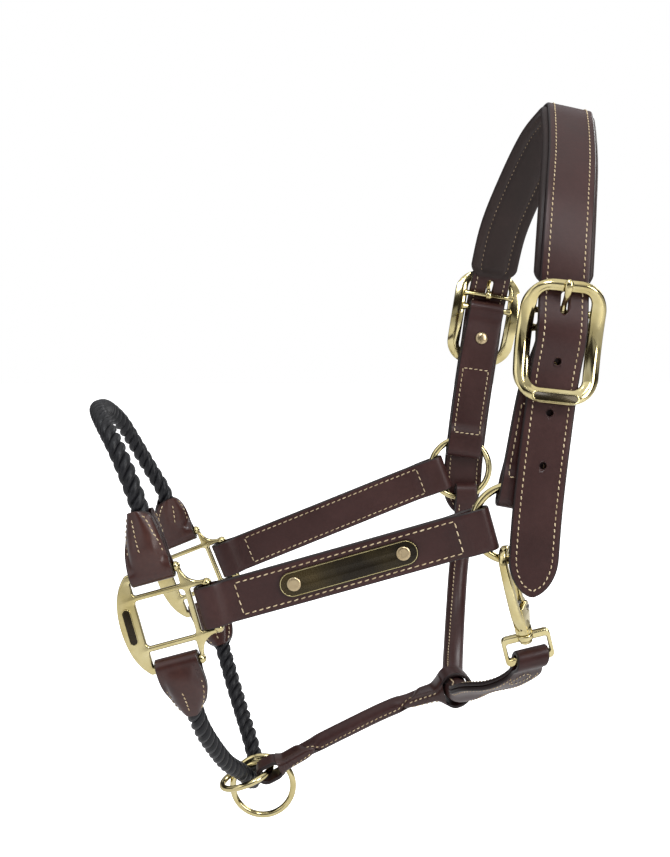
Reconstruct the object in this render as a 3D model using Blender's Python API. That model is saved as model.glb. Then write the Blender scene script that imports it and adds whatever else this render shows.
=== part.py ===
"""Leather headcollar with rope nose and chin pieces. Millimetres inside, metres out.
+X points to the poll end, -Y is the near (left) side of the head, +Z is up.
The origin is the flat under the crown lining where it rests on the poll."""
import bpy
import math
from mathutils import Vector, Matrix
from mathutils.geometry import tessellate_polygon

# ---------------------------------------------------------------- driving sizes, mm
MM = 0.001
GAP = 0.35              # gap between touching pieces
NOSE_W = 25.4           # nose strap width (one inch)
CHEEK_W = 25.4
CROWN_W = 28.5          # crown strap and billets
CROWN_T = 3.2
LINING_W = 34.0
PLY = 2.6               # one ply of the folded straps
TAB_PLY = 2.4
ROPE_R = 5.5
RING_R, RING_W = 21.6, 2.4         # cheek rings: centreline and wire radius
CHIN_R, CHIN_W = 17.4, 2.25
LEAD_R, LEAD_W = 20.4, 2.3
BUCKLE_W, BUCKLE_H = 51.0, 70.0
THROAT_R = 7.2
JOWL_R = 5.6

# ---------------------------------------------------------------- positions, mm
CROWN_PTS = [(-41.0, -111.6, -284.0), (-38.1, -109.4, -240.0), (-35.2, -107.8, -212.0), (-30.6, -105.2, -176.0),
             (-26.0, -104.5, -140.0), (-23.6, -103.8, -112.0), (-21.4, -100.0, -86.0), (-17.6, -88.5, -57.0),
             (-11.5, -65.0, -28.0), (-6.1, -35.0, -1.5), (-2.1, -10.0, 7.72), (-2.1, 10.0, 7.72), (-7.6, 35.0, -1.5),
             (-17.5, 65.0, -28.0), (-27.0, 87.5, -59.0), (-32.5, 98.0, -90.0), (-35.5, 102.0, -110.0),
             (-39.2, 102.8, -134.0), (-43.8, 103.3, -165.0), (-48.0, 106.4, -200.0), (-51.2, 107.6, -232.0),
             (-53.0, 108.2, -271.6)]
RING_NEAR = Vector((-51.0, -99.0, -243.4))
RING_FAR = Vector((-55.0, 98.0, -235.0))
FIT_NEAR = Vector((-250.6, -88.5, -300.4))
FIT_FAR = Vector((-253.9, 88.0, -310.6))
FIT_NEAR_ROLL = math.radians(15.0)
FIT_FAR_ROLL = math.radians(21.5)
CHIN_C = Vector((-209.7, 2.0, -432.0))
CHIN_PITCH = math.radians(20.0)
LEAD_C = Vector((-199.0, 8.0, -441.5))
SNAP_AT = math.radians(-96.0)      # where the hook hangs on the near ring


# ---------------------------------------------------------------- helpers
def clear():
    for o in list(bpy.data.objects):
        bpy.data.objects.remove(o)


def material(name, colour, rough, metal=0.0):
    m = bpy.data.materials.get(name) or bpy.data.materials.new(name)
    m.use_nodes = True
    b = m.node_tree.nodes["Principled BSDF"]
    b.inputs["Base Color"].default_value = (*colour, 1)
    b.inputs["Roughness"].default_value = rough
    b.inputs["Metallic"].default_value = metal
    m.diffuse_color = (*colour, 1)
    return m


def solid(name, verts, faces, mat, smooth=None, origin=None):
    """One object from points in mm; origin is where its joint axis passes."""
    o0 = Vector(origin) if origin is not None else Vector((0, 0, 0))
    me = bpy.data.meshes.new(name)
    me.from_pydata([(Vector(v) - o0) * MM for v in verts], [], faces)
    me.validate()
    me.materials.append(mat)
    if smooth is not None:
        me.shade_smooth()
        me.set_sharp_from_angle(angle=math.radians(smooth))
    o = bpy.data.objects.new(name, me)
    o.location = o0 * MM
    bpy.context.scene.collection.objects.link(o)
    return o


def facing_out(verts, faces):
    """The faces, turned round if they enclose a negative volume."""
    vol = 0.0
    for f in faces:
        a = Vector(verts[f[0]])
        for i in range(1, len(f) - 1):
            vol += a.dot(Vector(verts[f[i]]).cross(Vector(verts[f[i + 1]])))
    return [tuple(reversed(f)) for f in faces] if vol < 0 else faces


def loft(name, sections, mat, closed=False, smooth=40, origin=None):
    """A skin over sections that each have the same number of points."""
    k = len(sections[0])
    verts = [Vector(p) for s in sections for p in s]
    faces = []
    n = len(sections)
    for i in range(n if closed else n - 1):
        a, b = i * k, ((i + 1) % n) * k
        for j in range(k):
            jj = (j + 1) % k
            faces.append((a + j, a + jj, b + jj, b + j))
    if not closed:
        faces.append(tuple(reversed(range(k))))
        faces.append(tuple((n - 1) * k + j for j in range(k)))
    return solid(name, verts, facing_out(verts, faces), mat, smooth, origin)


class Path:
    """A smooth curve through points, measured by its length, with a frame:
    t along it, w across the strap and n out of its face."""

    def __init__(self, pts, wrefs, fine=24, ortho=True):
        p = [Vector(q) for q in pts]
        self.ortho = ortho
        ends = [p[0] * 2 - p[1]] + p + [p[-1] * 2 - p[-2]]
        out, par = [], []
        for i in range(1, len(ends) - 2):
            p0, p1, p2, p3 = ends[i - 1:i + 3]
            d1, d2, d3 = ((p1 - p0).length ** 0.5, (p2 - p1).length ** 0.5, (p3 - p2).length ** 0.5)
            m1 = (p2 - p1 + d2 * ((p1 - p0) / d1 - (p2 - p0) / (d1 + d2)))
            m2 = (p2 - p1 + d2 * ((p3 - p2) / d3 - (p3 - p1) / (d2 + d3)))
            for j in range(fine):
                u = j / fine
                out.append(p1 * (2 * u ** 3 - 3 * u ** 2 + 1) + m1 * (u ** 3 - 2 * u ** 2 + u)
                           + p2 * (3 * u ** 2 - 2 * u ** 3) + m2 * (u ** 3 - u ** 2))
                par.append((i - 1 + u) / (len(p) - 1))
        out.append(p[-1])
        par.append(1.0)
        self.p = out
        self.par = par
        self.s = [0.0]
        for a, b in zip(out, out[1:]):
            self.s.append(self.s[-1] + (b - a).length)
        self.length = self.s[-1]
        self.wrefs = [(u, Vector(w)) for u, w in wrefs]

    def find(self, s):
        lo, hi = 0, len(self.s) - 1
        while hi - lo > 1:
            mid = (lo + hi) // 2
            if self.s[mid] <= s:
                lo = mid
            else:
                hi = mid
        return lo, (s - self.s[lo]) / (self.s[lo + 1] - self.s[lo])

    def point(self, s):
        if s <= 0:
            return self.p[0] + (self.p[1] - self.p[0]).normalized() * s
        if s >= self.length:
            return self.p[-1] + (self.p[-1] - self.p[-2]).normalized() * (s - self.length)
        i, f = self.find(s)
        return self.p[i].lerp(self.p[i + 1], f)

    def frame(self, s):
        c = min(max(s, 0.6), self.length - 0.6)
        t = (self.point(c + 1.5) - self.point(c - 1.5)).normalized()
        i, f = self.find(c)
        u = self.par[i] + (self.par[i + 1] - self.par[i]) * f
        w = self.wrefs[0][1]
        for (u0, w0), (u1, w1) in zip(self.wrefs, self.wrefs[1:]):
            if u0 <= u <= u1:
                k = (u - u0) / (u1 - u0)
                k = k * k * (3 - 2 * k)
                w = w0.lerp(w1, k)
            elif u > u1:
                w = w1
        w = (w - t * w.dot(t)).normalized() if self.ortho else w.normalized()
        n = w.cross(t).normalized()
        return t, w, n

    def at(self, s, n=0.0, w=0.0):
        t, wv, nv = self.frame(s)
        return self.point(s) + wv * w + nv * n

    def near(self, q):
        """The length along the path at which it passes nearest to a point."""
        q = Vector(q)
        return min(((p - q).length, s) for p, s in zip(self.p, self.s))[1]


def ss(x):
    x = min(max(x, 0.0), 1.0)
    return x * x * (3 - 2 * x)


def ribbon(name, path, stations, width, n_lo, n_hi, mat, side=0.0):
    """A flat strap: width, inner and outer face are functions of the length."""
    sec = []
    for s in stations:
        w, a, b = width(s) / 2, n_lo(s), n_hi(s)
        sec.append([path.at(s, a, side - w), path.at(s, a, side + w), path.at(s, b, side + w), path.at(s, b, side - w)])
    return loft(name, sec, mat, smooth=35)


def band(name, path, lo, hi, ply, width, mat, roll=lambda s: 0.0, radius=lambda s: 5.0, step=7.0, across=1, extra=()):
    """A strap made of one ply folded back on itself round what it holds at each end.
    lo and hi say what each end is: (position, kind, inner half height, straight length, taper).
    kind 'loop' folds round a bar or a ring wire; kind 'open' leaves the two plies apart.
    Where roll is 1 the two plies curl round a core into a round section."""
    flat = (ply + 0.3) / 2

    def height(s):
        h = flat
        for pos, kind, r, long, taper, sgn in ((*lo, 1), (*hi, -1)):
            if kind == 'loop':
                H = r + ply / 2
                d = (s - pos) * sgn
                k = 1 - ss((d - H - long) / taper)
                h = max(h, flat + (H - flat) * k)
        return h

    s0 = lo[0] + (lo[2] + ply / 2 if lo[1] == 'loop' else 0)
    s1 = hi[0] - (hi[2] + ply / 2 if hi[1] == 'loop' else 0)
    n = max(2, int(round((s1 - s0) / step)))
    grid = sorted(set([s0 + (s1 - s0) * i / n for i in range(n + 1)] + [e for e in extra if s0 < e < s1]))
    line = []                                   # (s, n, normal s, normal n, side)
    for s in grid:
        line.append((s, height(s), 0.0, 1.0, 1))
    if hi[1] == 'loop':
        H = hi[2] + ply / 2
        for j in range(1, 6):
            a = math.pi / 2 - math.pi * j / 6
            line.append((s1 + H * math.cos(a), H * math.sin(a), math.cos(a), math.sin(a), 0))
    for s in reversed(grid):
        line.append((s, -height(s), 0.0, -1.0, -1))
    if lo[1] == 'loop':
        H = lo[2] + ply / 2
        for j in range(1, 6):
            a = math.pi / 2 - math.pi * j / 6
            line.append((s0 - H * math.cos(a), -H * math.sin(a), -math.cos(a), -math.sin(a), 0))
    closed = lo[1] == 'loop' and hi[1] == 'loop'
    if hi[1] == 'open':                          # start at the open end, so that the caps are there
        k = len(grid)
        line = line[k:] + line[:k]
    sections = []
    m = 2 * across
    for s, nn, ns, nz, side in line:
        k = roll(s) if side else 0.0
        R = radius(s)
        w = width(s) / 2
        pts = []
        for e, order in ((1, range(m + 1)), (-1, range(m, -1, -1))):
            for j in order:
                q = 2 * j / m - 1
                fs, fn, fw = s + ns * e * ply / 2, nn + nz * e * ply / 2, q * w
                if k > 0:
                    rr = R if e > 0 else R - ply
                    a = q * math.pi / 2
                    fn = fn * (1 - k) + side * (0.15 + rr * math.cos(a)) * k
                    fw = fw * (1 - k) + rr * math.sin(a) * k
                pts.append(path.at(fs, fn, fw))
        sections.append(pts)
    return loft(name, sections, mat, closed=closed, smooth=35)


def tube(name, path, s0, s1, r, mat, sides=10, step=7.0, smooth=60):
    n = max(2, int(round((s1 - s0) / step)))
    sec = []
    for i in range(n + 1):
        s = s0 + (s1 - s0) * i / n
        rr = r(s) if callable(r) else r
        sec.append([path.at(s, rr * math.sin(2 * math.pi * j / sides), rr * math.cos(2 * math.pi * j / sides))
                    for j in range(sides)])
    return loft(name, sec, mat, smooth=smooth)


def axes(n, u):
    n = Vector(n).normalized()
    u = Vector(u)
    u = (u - n * u.dot(n)).normalized()
    return u, n.cross(u), n


def ring(name, c, n, u, R, r, mat, seg=30, sides=7):
    u, v, n = axes(n, u)
    sec = []
    for i in range(seg):
        a = 2 * math.pi * i / seg
        d = u * math.cos(a) + v * math.sin(a)
        sec.append([Vector(c) + d * (R + r * math.cos(2 * math.pi * j / sides)) + n * (r * math.sin(2 * math.pi * j / sides))
                    for j in range(sides)])
    return loft(name, sec, mat, closed=True, smooth=60, origin=c)


def turned(name, c, ax, u, profile, mat, sides=16, origin=None):
    """A turned piece: profile is (distance along the axis, radius)."""
    u, v, n = axes(ax, u)
    sec = [[Vector(c) + n * h + (u * math.cos(2 * math.pi * j / sides) + v * math.sin(2 * math.pi * j / sides)) * r
            for j in range(sides)] for h, r in profile]
    return loft(name, sec, mat, smooth=40, origin=origin)


def plate(name, frame, outline, holes, z0, z1, mat, origin=None, smooth=40, bow=None):
    """A flat plate with holes: outline and holes are (a, b) in mm in frame = (centre, a axis, b axis, normal)."""
    c, a, b, n = frame
    loops = [[Vector((x, y, 0)) for x, y in lp] for lp in [outline] + holes]
    tris = tessellate_polygon(loops)
    flat = [p for lp in loops for p in lp]
    N = len(flat)

    def put(p, z):
        return c + a * p.x + b * p.y + n * (z + (bow(p.x, p.y) if bow else 0.0))
    verts = [put(p, z1) for p in flat] + [put(p, z0) for p in flat]
    faces = []
    for t in tris:
        A, B, C = (flat[i] for i in t)
        up = (B - A).cross(C - A).z > 0
        t = tuple(t) if up else tuple(reversed(t))
        faces.append(t)
        faces.append(tuple(i + N for i in reversed(t)))
    k = 0
    for li, lp in enumerate(loops):
        area = sum(lp[i].x * lp[(i + 1) % len(lp)].y - lp[(i + 1) % len(lp)].x * lp[i].y for i in range(len(lp)))
        ccw = area > 0
        for i in range(len(lp)):
            i0, i1 = k + i, k + (i + 1) % len(lp)
            f = (i1, i0, i0 + N, i1 + N)
            faces.append(f if ccw == (li == 0) else tuple(reversed(f)))
        k += len(lp)
    return solid(name, verts, facing_out(verts, faces), mat, smooth, origin)


def cutter(name, cyls, sides=10):
    """Helper rods (centre, axis, radius, half length, stretch axis, stretch) joined in one hidden object."""
    verts, faces = [], []
    for c, ax, r, half, u, stretch in cyls:
        uu, vv, nn = axes(ax, u)
        k = len(verts)
        for z in (-half, half):
            for j in range(sides):
                t = 2 * math.pi * (j + 0.5) / sides
                x = r * math.cos(t)
                x += math.copysign(stretch / 2, x)
                verts.append(Vector(c) + uu * x + vv * (r * math.sin(t)) + nn * z)
        for j in range(sides):
            faces.append((k + j, k + (j + 1) % sides, k + sides + (j + 1) % sides, k + sides + j))
        faces.append(tuple(k + j for j in reversed(range(sides))))
        faces.append(tuple(k + sides + j for j in range(sides)))
    o = solid(name, verts, facing_out(verts, faces), LEATHER)
    o.hide_render = True
    o.display_type = 'WIRE'
    return o


def cut(o, tool):
    m = o.modifiers.new("holes", 'BOOLEAN')
    m.operation = 'DIFFERENCE'
    m.solver = 'EXACT'
    m.object = tool


clear()
LEATHER = material("leather_havana", (0.055, 0.022, 0.018), 0.42)
LINING = material("leather_lining", (0.035, 0.018, 0.016), 0.55)
FOAM = material("crown_foam", (0.45, 0.43, 0.38), 0.9)
ROPE = material("rope_black", (0.012, 0.012, 0.014), 0.8)
CORE = material("cord_core", (0.6, 0.56, 0.48), 0.9)
BRASS = material("polished_brass", (0.83, 0.66, 0.30), 0.16, 1.0)
PLATE = material("plate_dark", (0.03, 0.028, 0.02), 0.3, 0.6)
STEEL = material("spring_steel", (0.5, 0.5, 0.5), 0.3, 1.0)

# ---------------------------------------------------------------- crown
crown = Path(CROWN_PTS, [(0.0, (0.985, 0, -0.12)), (0.35, (0.97, 0, -0.2)), (0.65, (0.97, 0, -0.2)), (1.0, (0.985, 0, -0.12))])
SB_N = crown.near((-26.0, -104.5, -140.0))      # buckle centres along the crown
SB_F = crown.near((-37.6, 102.6, -124.0))
L = crown.length


def bow_over(s):
    """How far the billet stands out where it rides over the buckle's inner bars."""
    n = -0.8
    for sb, sgn in ((SB_N, 1), (SB_F, -1)):
        d = (s - sb) * sgn - 5.0
        if abs(d) < 26:
            n += 4.9 * math.cos(math.pi / 2 * d / 26) ** 2
    return n


def tip_w(s):
    d = min(s, L - s)
    return CROWN_W if d > 21 else max(4.0, CROWN_W * (1 - ((21 - d) / 21) ** 2.2) ** 0.55)


apex_s = crown.near((-2.1, 0.0, 7.72))
st = [0, 2, 5, 9, 14, 21, 32, 48, 64, 80, 94]
st += [SB_N + d for d in (-34, -27, -21, -15, -9, -3, 3, 9, 15, 21, 27, 34)]
a0, a1 = SB_N + 34, SB_F - 34
top = [a0 + (a1 - a0) * i / 30 for i in range(1, 30)]
top = [s for s in top if abs(s - apex_s) > 8] + [apex_s - 8, apex_s + 8]
st += top + [SB_F + d for d in (-34, -27, -21, -15, -9, -3, 3, 9, 15, 21, 27, 34)]
st += [L - d for d in (94, 80, 64, 48, 32, 21, 14, 9, 5, 2, 0)]
st = sorted(s for i, s in enumerate(sorted(st)))
st = [s for i, s in enumerate(st) if i == 0 or s - st[i - 1] > 1.2]
strap = ribbon("crown_strap", crown, st, tip_w, lambda s: bow_over(s) - CROWN_T / 2, lambda s: bow_over(s) + CROWN_T / 2, LEATHER)

PAD0, PAD1 = SB_N + 31.5, SB_F - 31.5            # the padded length, between the buckles
pst = [PAD0 + (PAD1 - PAD0) * i / 34 for i in range(35)]
pst = sorted([s for s in pst if abs(s - apex_s) > 9] + [apex_s - 8, apex_s + 8])
LIN_TOP = -0.8 - CROWN_T / 2 - GAP
LIN_T = 1.2
FOAM_T = 3.0


def lining():
    """The lining: a shallow channel, turned up at its edges to meet the strap, with the foam in it."""
    sec = []
    for s in pst:
        e = min(s - PAD0, PAD1 - s)
        k = ss(e / 12.0)
        w = (CROWN_W + (LINING_W - CROWN_W) * k) / 2
        i = w - 4.5
        z1, z0 = LIN_TOP, LIN_TOP - LIN_T - GAP - (FOAM_T + GAP - 0.05) * max(k, 0.16)
        f = z0 + LIN_T
        sec.append([crown.at(s, z0, -w + 1.5), crown.at(s, z0, w - 1.5), crown.at(s, z0 + 1.2, w), crown.at(s, z1, w), crown.at(s, z1, i),
                    crown.at(s, f, i - 0.5), crown.at(s, f, -i + 0.5), crown.at(s, z1, -i), crown.at(s, z1, -w), crown.at(s, z0 + 1.2, -w)])
    return loft("crown_lining", sec, LINING, smooth=35)


lining()
fst = [s for s in pst if PAD0 + 14 < s < PAD1 - 14]
ribbon("crown_foam", crown, fst, lambda s: LINING_W - 11.0, lambda s: LIN_TOP - GAP - FOAM_T + 0.35, lambda s: LIN_TOP, FOAM)

# ---------------------------------------------------------------- buckles
holes_in_strap = []


def rounded(hw, hh, r, seg=4, bulge=0.0, sides=0):
    """A rounded rectangle, with extra points down its two long sides."""
    pts = []
    for cx, cy, a0 in ((hw - r, hh - r, 0), (-hw + r, hh - r, 90), (-hw + r, -hh + r, 180), (hw - r, -hh + r, 270)):
        for j in range(seg + 1):
            a = math.radians(a0 + 90 * j / seg)
            pts.append((cx + r * math.cos(a), cy + r * math.sin(a)))
        if a0 in (90, 270):
            x, ya = pts[-1]
            for j in range(1, sides + 1):
                pts.append((x, ya * (1 - 2 * j / (sides + 1))))
    return [(x + math.copysign(bulge * (1 - (y / hh) ** 2), x), y) for x, y in pts]


def buckle(name, sb, sgn):
    """A full-cheek headcollar buckle: a bowed frame with a prong bar and a strap bar inside it."""
    t, w, n = crown.frame(sb)
    v, c = t * sgn, crown.point(sb)

    def rail(y):
        return -2.5 + 7.4 * (y / 30.5) ** 2
    outer = rounded(BUCKLE_W / 2 - 1.0, BUCKLE_H / 2, 14, 4, 1.0, 5)
    inner = []
    for x, y in rounded(15.3, 27.0, 5.0, 4, 0.6, 5):
        inner.append((x, y + 1.0))
    k = len(outer)
    sec = []
    for i in range(k):
        (x0, y0), (x1, y1) = outer[i], inner[i]
        o = lambda x, y, z: c + w * x + v * y + n * (rail(min(max(y, -30.5), 30.5)) + z)
        mx, my = x0 * 0.62 + x1 * 0.38, y0 * 0.62 + y1 * 0.38
        sec.append([o(x0, y0, -1.6), o(x0, y0, 0.4), o(mx, my, 2.4), o(x1, y1, 0.7), o(x1, y1, -1.3)])
    verts = [p for s in sec for p in s]
    faces = []
    for i in range(k):
        a, b = i * 5, ((i + 1) % k) * 5
        for j in range(5):
            faces.append((a + j, a + (j + 1) % 5, b + (j + 1) % 5, b + j))
    frame_o = solid(name, verts, facing_out(verts, faces), BRASS, 40)
    bars = []
    for y, z, r in ((17.0, -2.9, 1.7), (7.0, -3.7, 2.0)):
        sides = 8
        p0 = [c + w * (-19.0) + v * (y + r * math.cos(2 * math.pi * j / sides)) + n * (z + r * math.sin(2 * math.pi * j / sides)) for j in range(sides)]
        p1 = [q + w * 38.0 for q in p0]
        vv = p0 + p1
        ff = [(j, (j + 1) % sides, sides + (j + 1) % sides, sides + j) for j in range(sides)]
        ff += [tuple(reversed(range(sides))), tuple(range(sides, 2 * sides))]
        b = solid(name + "_bar_guide_%d" % int(y), vv, facing_out(vv, ff), BRASS)
        b.hide_render = True
        b.display_type = 'WIRE'
        bars.append(b)
    for b in bars:
        m = frame_o.modifiers.new("bar", 'BOOLEAN')
        m.operation = 'UNION'
        m.solver = 'EXACT'
        m.object = b
    return c, v, w, n


def prong(name, fr):
    """The prong: an eye round its bar, and a tongue up through the strap hole, resting on the end bar."""
    c, v, w, n = fr
    pivot = c + v * 17.0 + n * (-2.9)
    hw = 1.9
    eye_r, hole_r = 3.6, 2.0
    prof_o, prof_i = [], []
    # side outline in (v, n) round the pivot: the eye, then the tongue over to the end bar
    seg = 14
    outer = []
    for j in range(seg + 1):
        a = math.radians(62 + 290 * j / seg)
        outer.append((eye_r * math.cos(a), eye_r * math.sin(a)))
    tongue_low = [(4.2, 2.0), (7.5, 5.9), (10.0, 8.4), (13.0, 10.35), (17.0, 10.5)]
    tongue_top = [(17.2, 12.3), (12.6, 12.6), (8.6, 10.6), (5.0, 7.0)]
    outline = outer[:-1] + tongue_low + tongue_top
    hole = [(hole_r * math.cos(2 * math.pi * j / 10), hole_r * math.sin(2 * math.pi * j / 10)) for j in range(10)]
    return plate(name, (pivot, v, n, w), outline, [hole], -hw, hw, BRASS, origin=pivot)


B_N = buckle("near_buckle_frame", SB_N, 1)
B_F = buckle("far_buckle_frame", SB_F, -1)
prong("near_buckle_prong", B_N)
prong("far_buckle_prong", B_F)
for fr in (B_N, B_F):
    c, v, w, n = fr
    holes_in_strap.append((c + v * 22.0 + n * 2, n, 3.1, 8, v, 9.4))
for d in (-11.0, -40.0, -70.0):
    for fr, sb, sgn in ((B_N, SB_N, 1), (B_F, SB_F, -1)):
        s = sb + sgn * d
        t, w, n = crown.frame(s)
        holes_in_strap.append((crown.point(s) + n * bow_over(s), n, 1.9, 4, t, 0.0))
cut(strap, cutter("strap_hole_cutter", holes_in_strap))

# ---------------------------------------------------------------- cheek rings
ring("near_cheek_ring", RING_NEAR, (0, 1, 0), (1, 0, 0), RING_R, RING_W, BRASS)
ring("far_cheek_ring", RING_FAR, (0, 1, 0), (1, 0, 0), RING_R, RING_W, BRASS)


# ---------------------------------------------------------------- cheek straps
def cheek(name, fr, rc, sgn, lean):
    c, v, w, n = fr
    bar = c + v * 7.0 + n * (-3.7)
    mid = [c + v * (-2.0) + n * (-4.4) + w * lean[0], c + v * (-14.0) + n * (-6.2) + w * lean[1], c + v * (-27.0) + n * (-7.2) + w * lean[2]]
    end = rc + lean[3]
    near_end = end + (mid[-1] - end).normalized() * 24.0
    near_end.y = end.y
    p = Path([bar] + mid + [near_end, end], [(0, w), (1, (0.98, 0, -0.17))])
    hole_s = p.near(c + v * (-15.0) + n * (-6.3))
    o = band(name, p, (-2.5 - PLY / 2, 'loop', 2.5, 0.0, 9.0), (p.length, 'loop', 3.2, 9.5, 12.0), PLY, lambda s: CHEEK_W, LEATHER, step=9)
    t, ww, nn = p.frame(hole_s)
    q = p.point(hole_s)
    cut(o, cutter(name + "_rivet_cutter", [(q, nn, 1.7, 8, ww, 0.0)]))
    h = PLY + 0.15
    turned(name.replace("strap", "rivet"), q, nn, ww, [(-h - 1.6, 1.5), (-h - 1.5, 3.6), (-h - 0.9, 4.4), (-h - GAP, 4.4), (-h - GAP, 1.35),
                                                   (h + 0.4, 1.35), (h + 0.4, 3.0), (h + 0.75, 2.9), (h + 0.85, 1.0)], BRASS, 12)
    return p


cheek_n = cheek("near_cheek_strap", B_N, RING_NEAR, -1, (0.0, -2.5, -5.5, Vector((3.6, 0, 9.0))))
cheek_f = cheek("far_cheek_strap", B_F, RING_FAR, 1, (0.0, -0.6, -1.2, Vector((2.0, 0, 9.6))))


# ---------------------------------------------------------------- fittings
def fitting(name, c, roll, out):
    """The three-slot square that joins the nose strap and the two rope tabs."""
    a = Vector((math.cos(roll), 0, math.sin(roll)))
    b = Vector((-math.sin(roll), 0, math.cos(roll)))
    outline = []

    def arc(cx, cy, r, d0, d1, seg):
        for j in range(seg + 1):
            t = math.radians(d0 + (d1 - d0) * j / seg)
            outline.append((cx + r * math.cos(t), cy + r * math.sin(t)))
    arc(13.5, 27.6, 2.6, -20, 90, 4)                      # upper ear
    outline.append((0, 30.0))
    arc(-15.5, 27.4, 2.6, 90, 150, 2)
    outline += [(-20.5, 24.5), (-24.6, 17.5), (-26.6, 9.0), (-27.2, 0.0), (-26.6, -9.0), (-24.6, -17.5), (-20.5, -24.8)]
    arc(-15.5, -28.2, 2.6, 210, 270, 2)
    outline.append((0, -31.0))
    arc(13.5, -28.6, 2.6, 270, 380, 4)
    outline += [(17.2, -24.0), (19.2, -19.2), (23.5, -16.2)]
    arc(28.2, -13.6, 2.6, 250, 360, 4)
    outline.append((30.8, 0))
    arc(28.2, 13.6, 2.6, 0, 110, 4)
    outline += [(23.5, 16.2), (19.2, 19.2), (17.2, 24.0)]
    window = rounded(15.0, 14.0, 2.0, 2)
    top = [(13.6, 17.2), (13.6, 25.4), (-14.6, 25.4), (-14.6, 17.2)]
    bot = [(13.6, -26.4), (13.6, -17.2), (-14.6, -17.2), (-14.6, -26.4)]
    right = [(18.4, -13.4), (26.2, -13.4), (26.2, 13.4), (18.4, 13.4)]
    n = a.cross(b)                                        # -Y
    o = plate(name, (c, a, b, n), outline, [window, top, bot, right], -2.0, 2.0, BRASS)
    return a, b, n


FN = fitting("near_nose_fitting", FIT_NEAR, FIT_NEAR_ROLL, -1)
FF = fitting("far_nose_fitting", FIT_FAR, FIT_FAR_ROLL, 1)


def bar_of(c, fr, a, b):
    return c + fr[0] * a + fr[1] * b


# ---------------------------------------------------------------- nose straps
def nose(name, c, fr, rc, sag, off):
    start = bar_of(c, fr, 28.4, 0)
    d = (rc - start).normalized()
    up = Vector((0, 1, 0)).cross(d).normalized() * -1
    end = rc + d * (-11.2) + up * off
    end.y = rc.y
    first = start + fr[0] * 9.0
    last = end - d * 24.0
    last.y = rc.y
    mid = start.lerp(end, 0.45) + Vector((0, sag, 0))
    p = Path([start, first, mid, last, end], [(0, fr[1] * -1), (1, up * -1)])
    return p, band(name, p, (-6.0 - PLY / 2, 'loop', 3.4, 4.0, 9.0), (p.length, 'loop', 3.2, 8.5, 13.0), PLY, lambda s: NOSE_W, LEATHER, step=11)


nose_n, nn_o = nose("near_nose_strap", FIT_NEAR, FN, RING_NEAR, -1.2, 1.0)
nose_f, nf_o = nose("far_nose_strap", FIT_FAR, FF, RING_FAR, 1.2, 1.6)

# ---------------------------------------------------------------- name plate and its rivets, on the near strap's outer face
PLATE_S = (46.0, 129.0)
t, w, n = nose_n.frame(83.0)
outward = n if n.y < 0 else -n
sgn = 1.0 if n.y < 0 else -1.0
face = PLY + 0.15
rows = []
q = nose_n.point(83.0)
pc = q + outward * (face + 2.0)
up = w if w.z > 0 else -w
tt = up.cross(outward).normalized()
tt = tt if tt.x > 0 else -tt
# the strap bows by under a millimetre along the plate, so the plate stands on a flat plane just clear of it
stand = max((nose_n.at(s, sgn * face) - q).dot(outward) for s in (42, 56, 83.0, 110, 124)) + GAP
plate_c = q + outward * stand
outline = []
for cx, d0 in ((34.0, -90), (-34.0, 90)):
    for j in range(9):
        a = math.radians(d0 + 180 * j / 8)
        outline.append((cx + 7.5 * math.cos(a), 7.5 * math.sin(a)))
RIV = 32.8
holes = [[(x + 1.7 * math.cos(2 * math.pi * j / 10), 1.7 * math.sin(2 * math.pi * j / 10)) for j in range(10)] for x in (-RIV, RIV)]
plate("name_plate", (plate_c, tt, up, outward), outline, holes, 0.0, 1.0, PLATE)
riv_cut = []
for nm, x in (("name_plate_front_rivet", -RIV), ("name_plate_rear_rivet", RIV)):
    c0 = plate_c + tt * x
    riv_cut.append((c0 - outward * 4, outward, 1.75, 12, tt, 0.0))
    back = stand + face + 2.2
    turned(nm, c0, outward, tt, [(-back - 0.6, 1.2), (-back - 0.5, 3.0), (-back, 3.0), (-back, 1.35), (1.0 + GAP, 1.35), (1.0 + GAP, 4.0),
                                 (1.9, 4.0), (2.3, 3.3), (2.4, 1.2)], BRASS, 14)
cut(nn_o, cutter("name_plate_rivet_cutter", riv_cut))

# ---------------------------------------------------------------- ropes and their leather tabs
nb, fb = bar_of(FIT_NEAR, FN, -0.5, 27.8), bar_of(FIT_FAR, FF, -0.5, 27.8)
nose_rope = Path([nb, nb + FN[1] * 9.0, (-262.2, -87.2, -255.0), (-265.3, -84.5, -238.0), (-271.1, -82.5, -221.3), (-278.8, -76.5, -204.9),
                  (-288.2, -63.0, -191.3), (-297.0, -38.0, -184.1), (-303.6, 0.0, -183.4), (-305.4, 38.0, -186.6),
                  (-300.8, 62.0, -196.7), (-293.4, 76.0, -213.7), (-283.9, 83.0, -232.7), (-274.9, 85.0, -249.2),
                  (-270.6, 86.8, -264.0), fb + FF[1] * 9.0, fb],
                 [(0, FN[0]), (0.2, (0.8, -0.5, 0)), (0.5, (0, -1, 0)), (0.8, (-0.8, -0.5, 0)), (1, FF[0] * -1)])
nb2, fb2 = bar_of(FIT_NEAR, FN, -0.5, -28.7), bar_of(FIT_FAR, FF, -0.5, -28.7)
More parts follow.
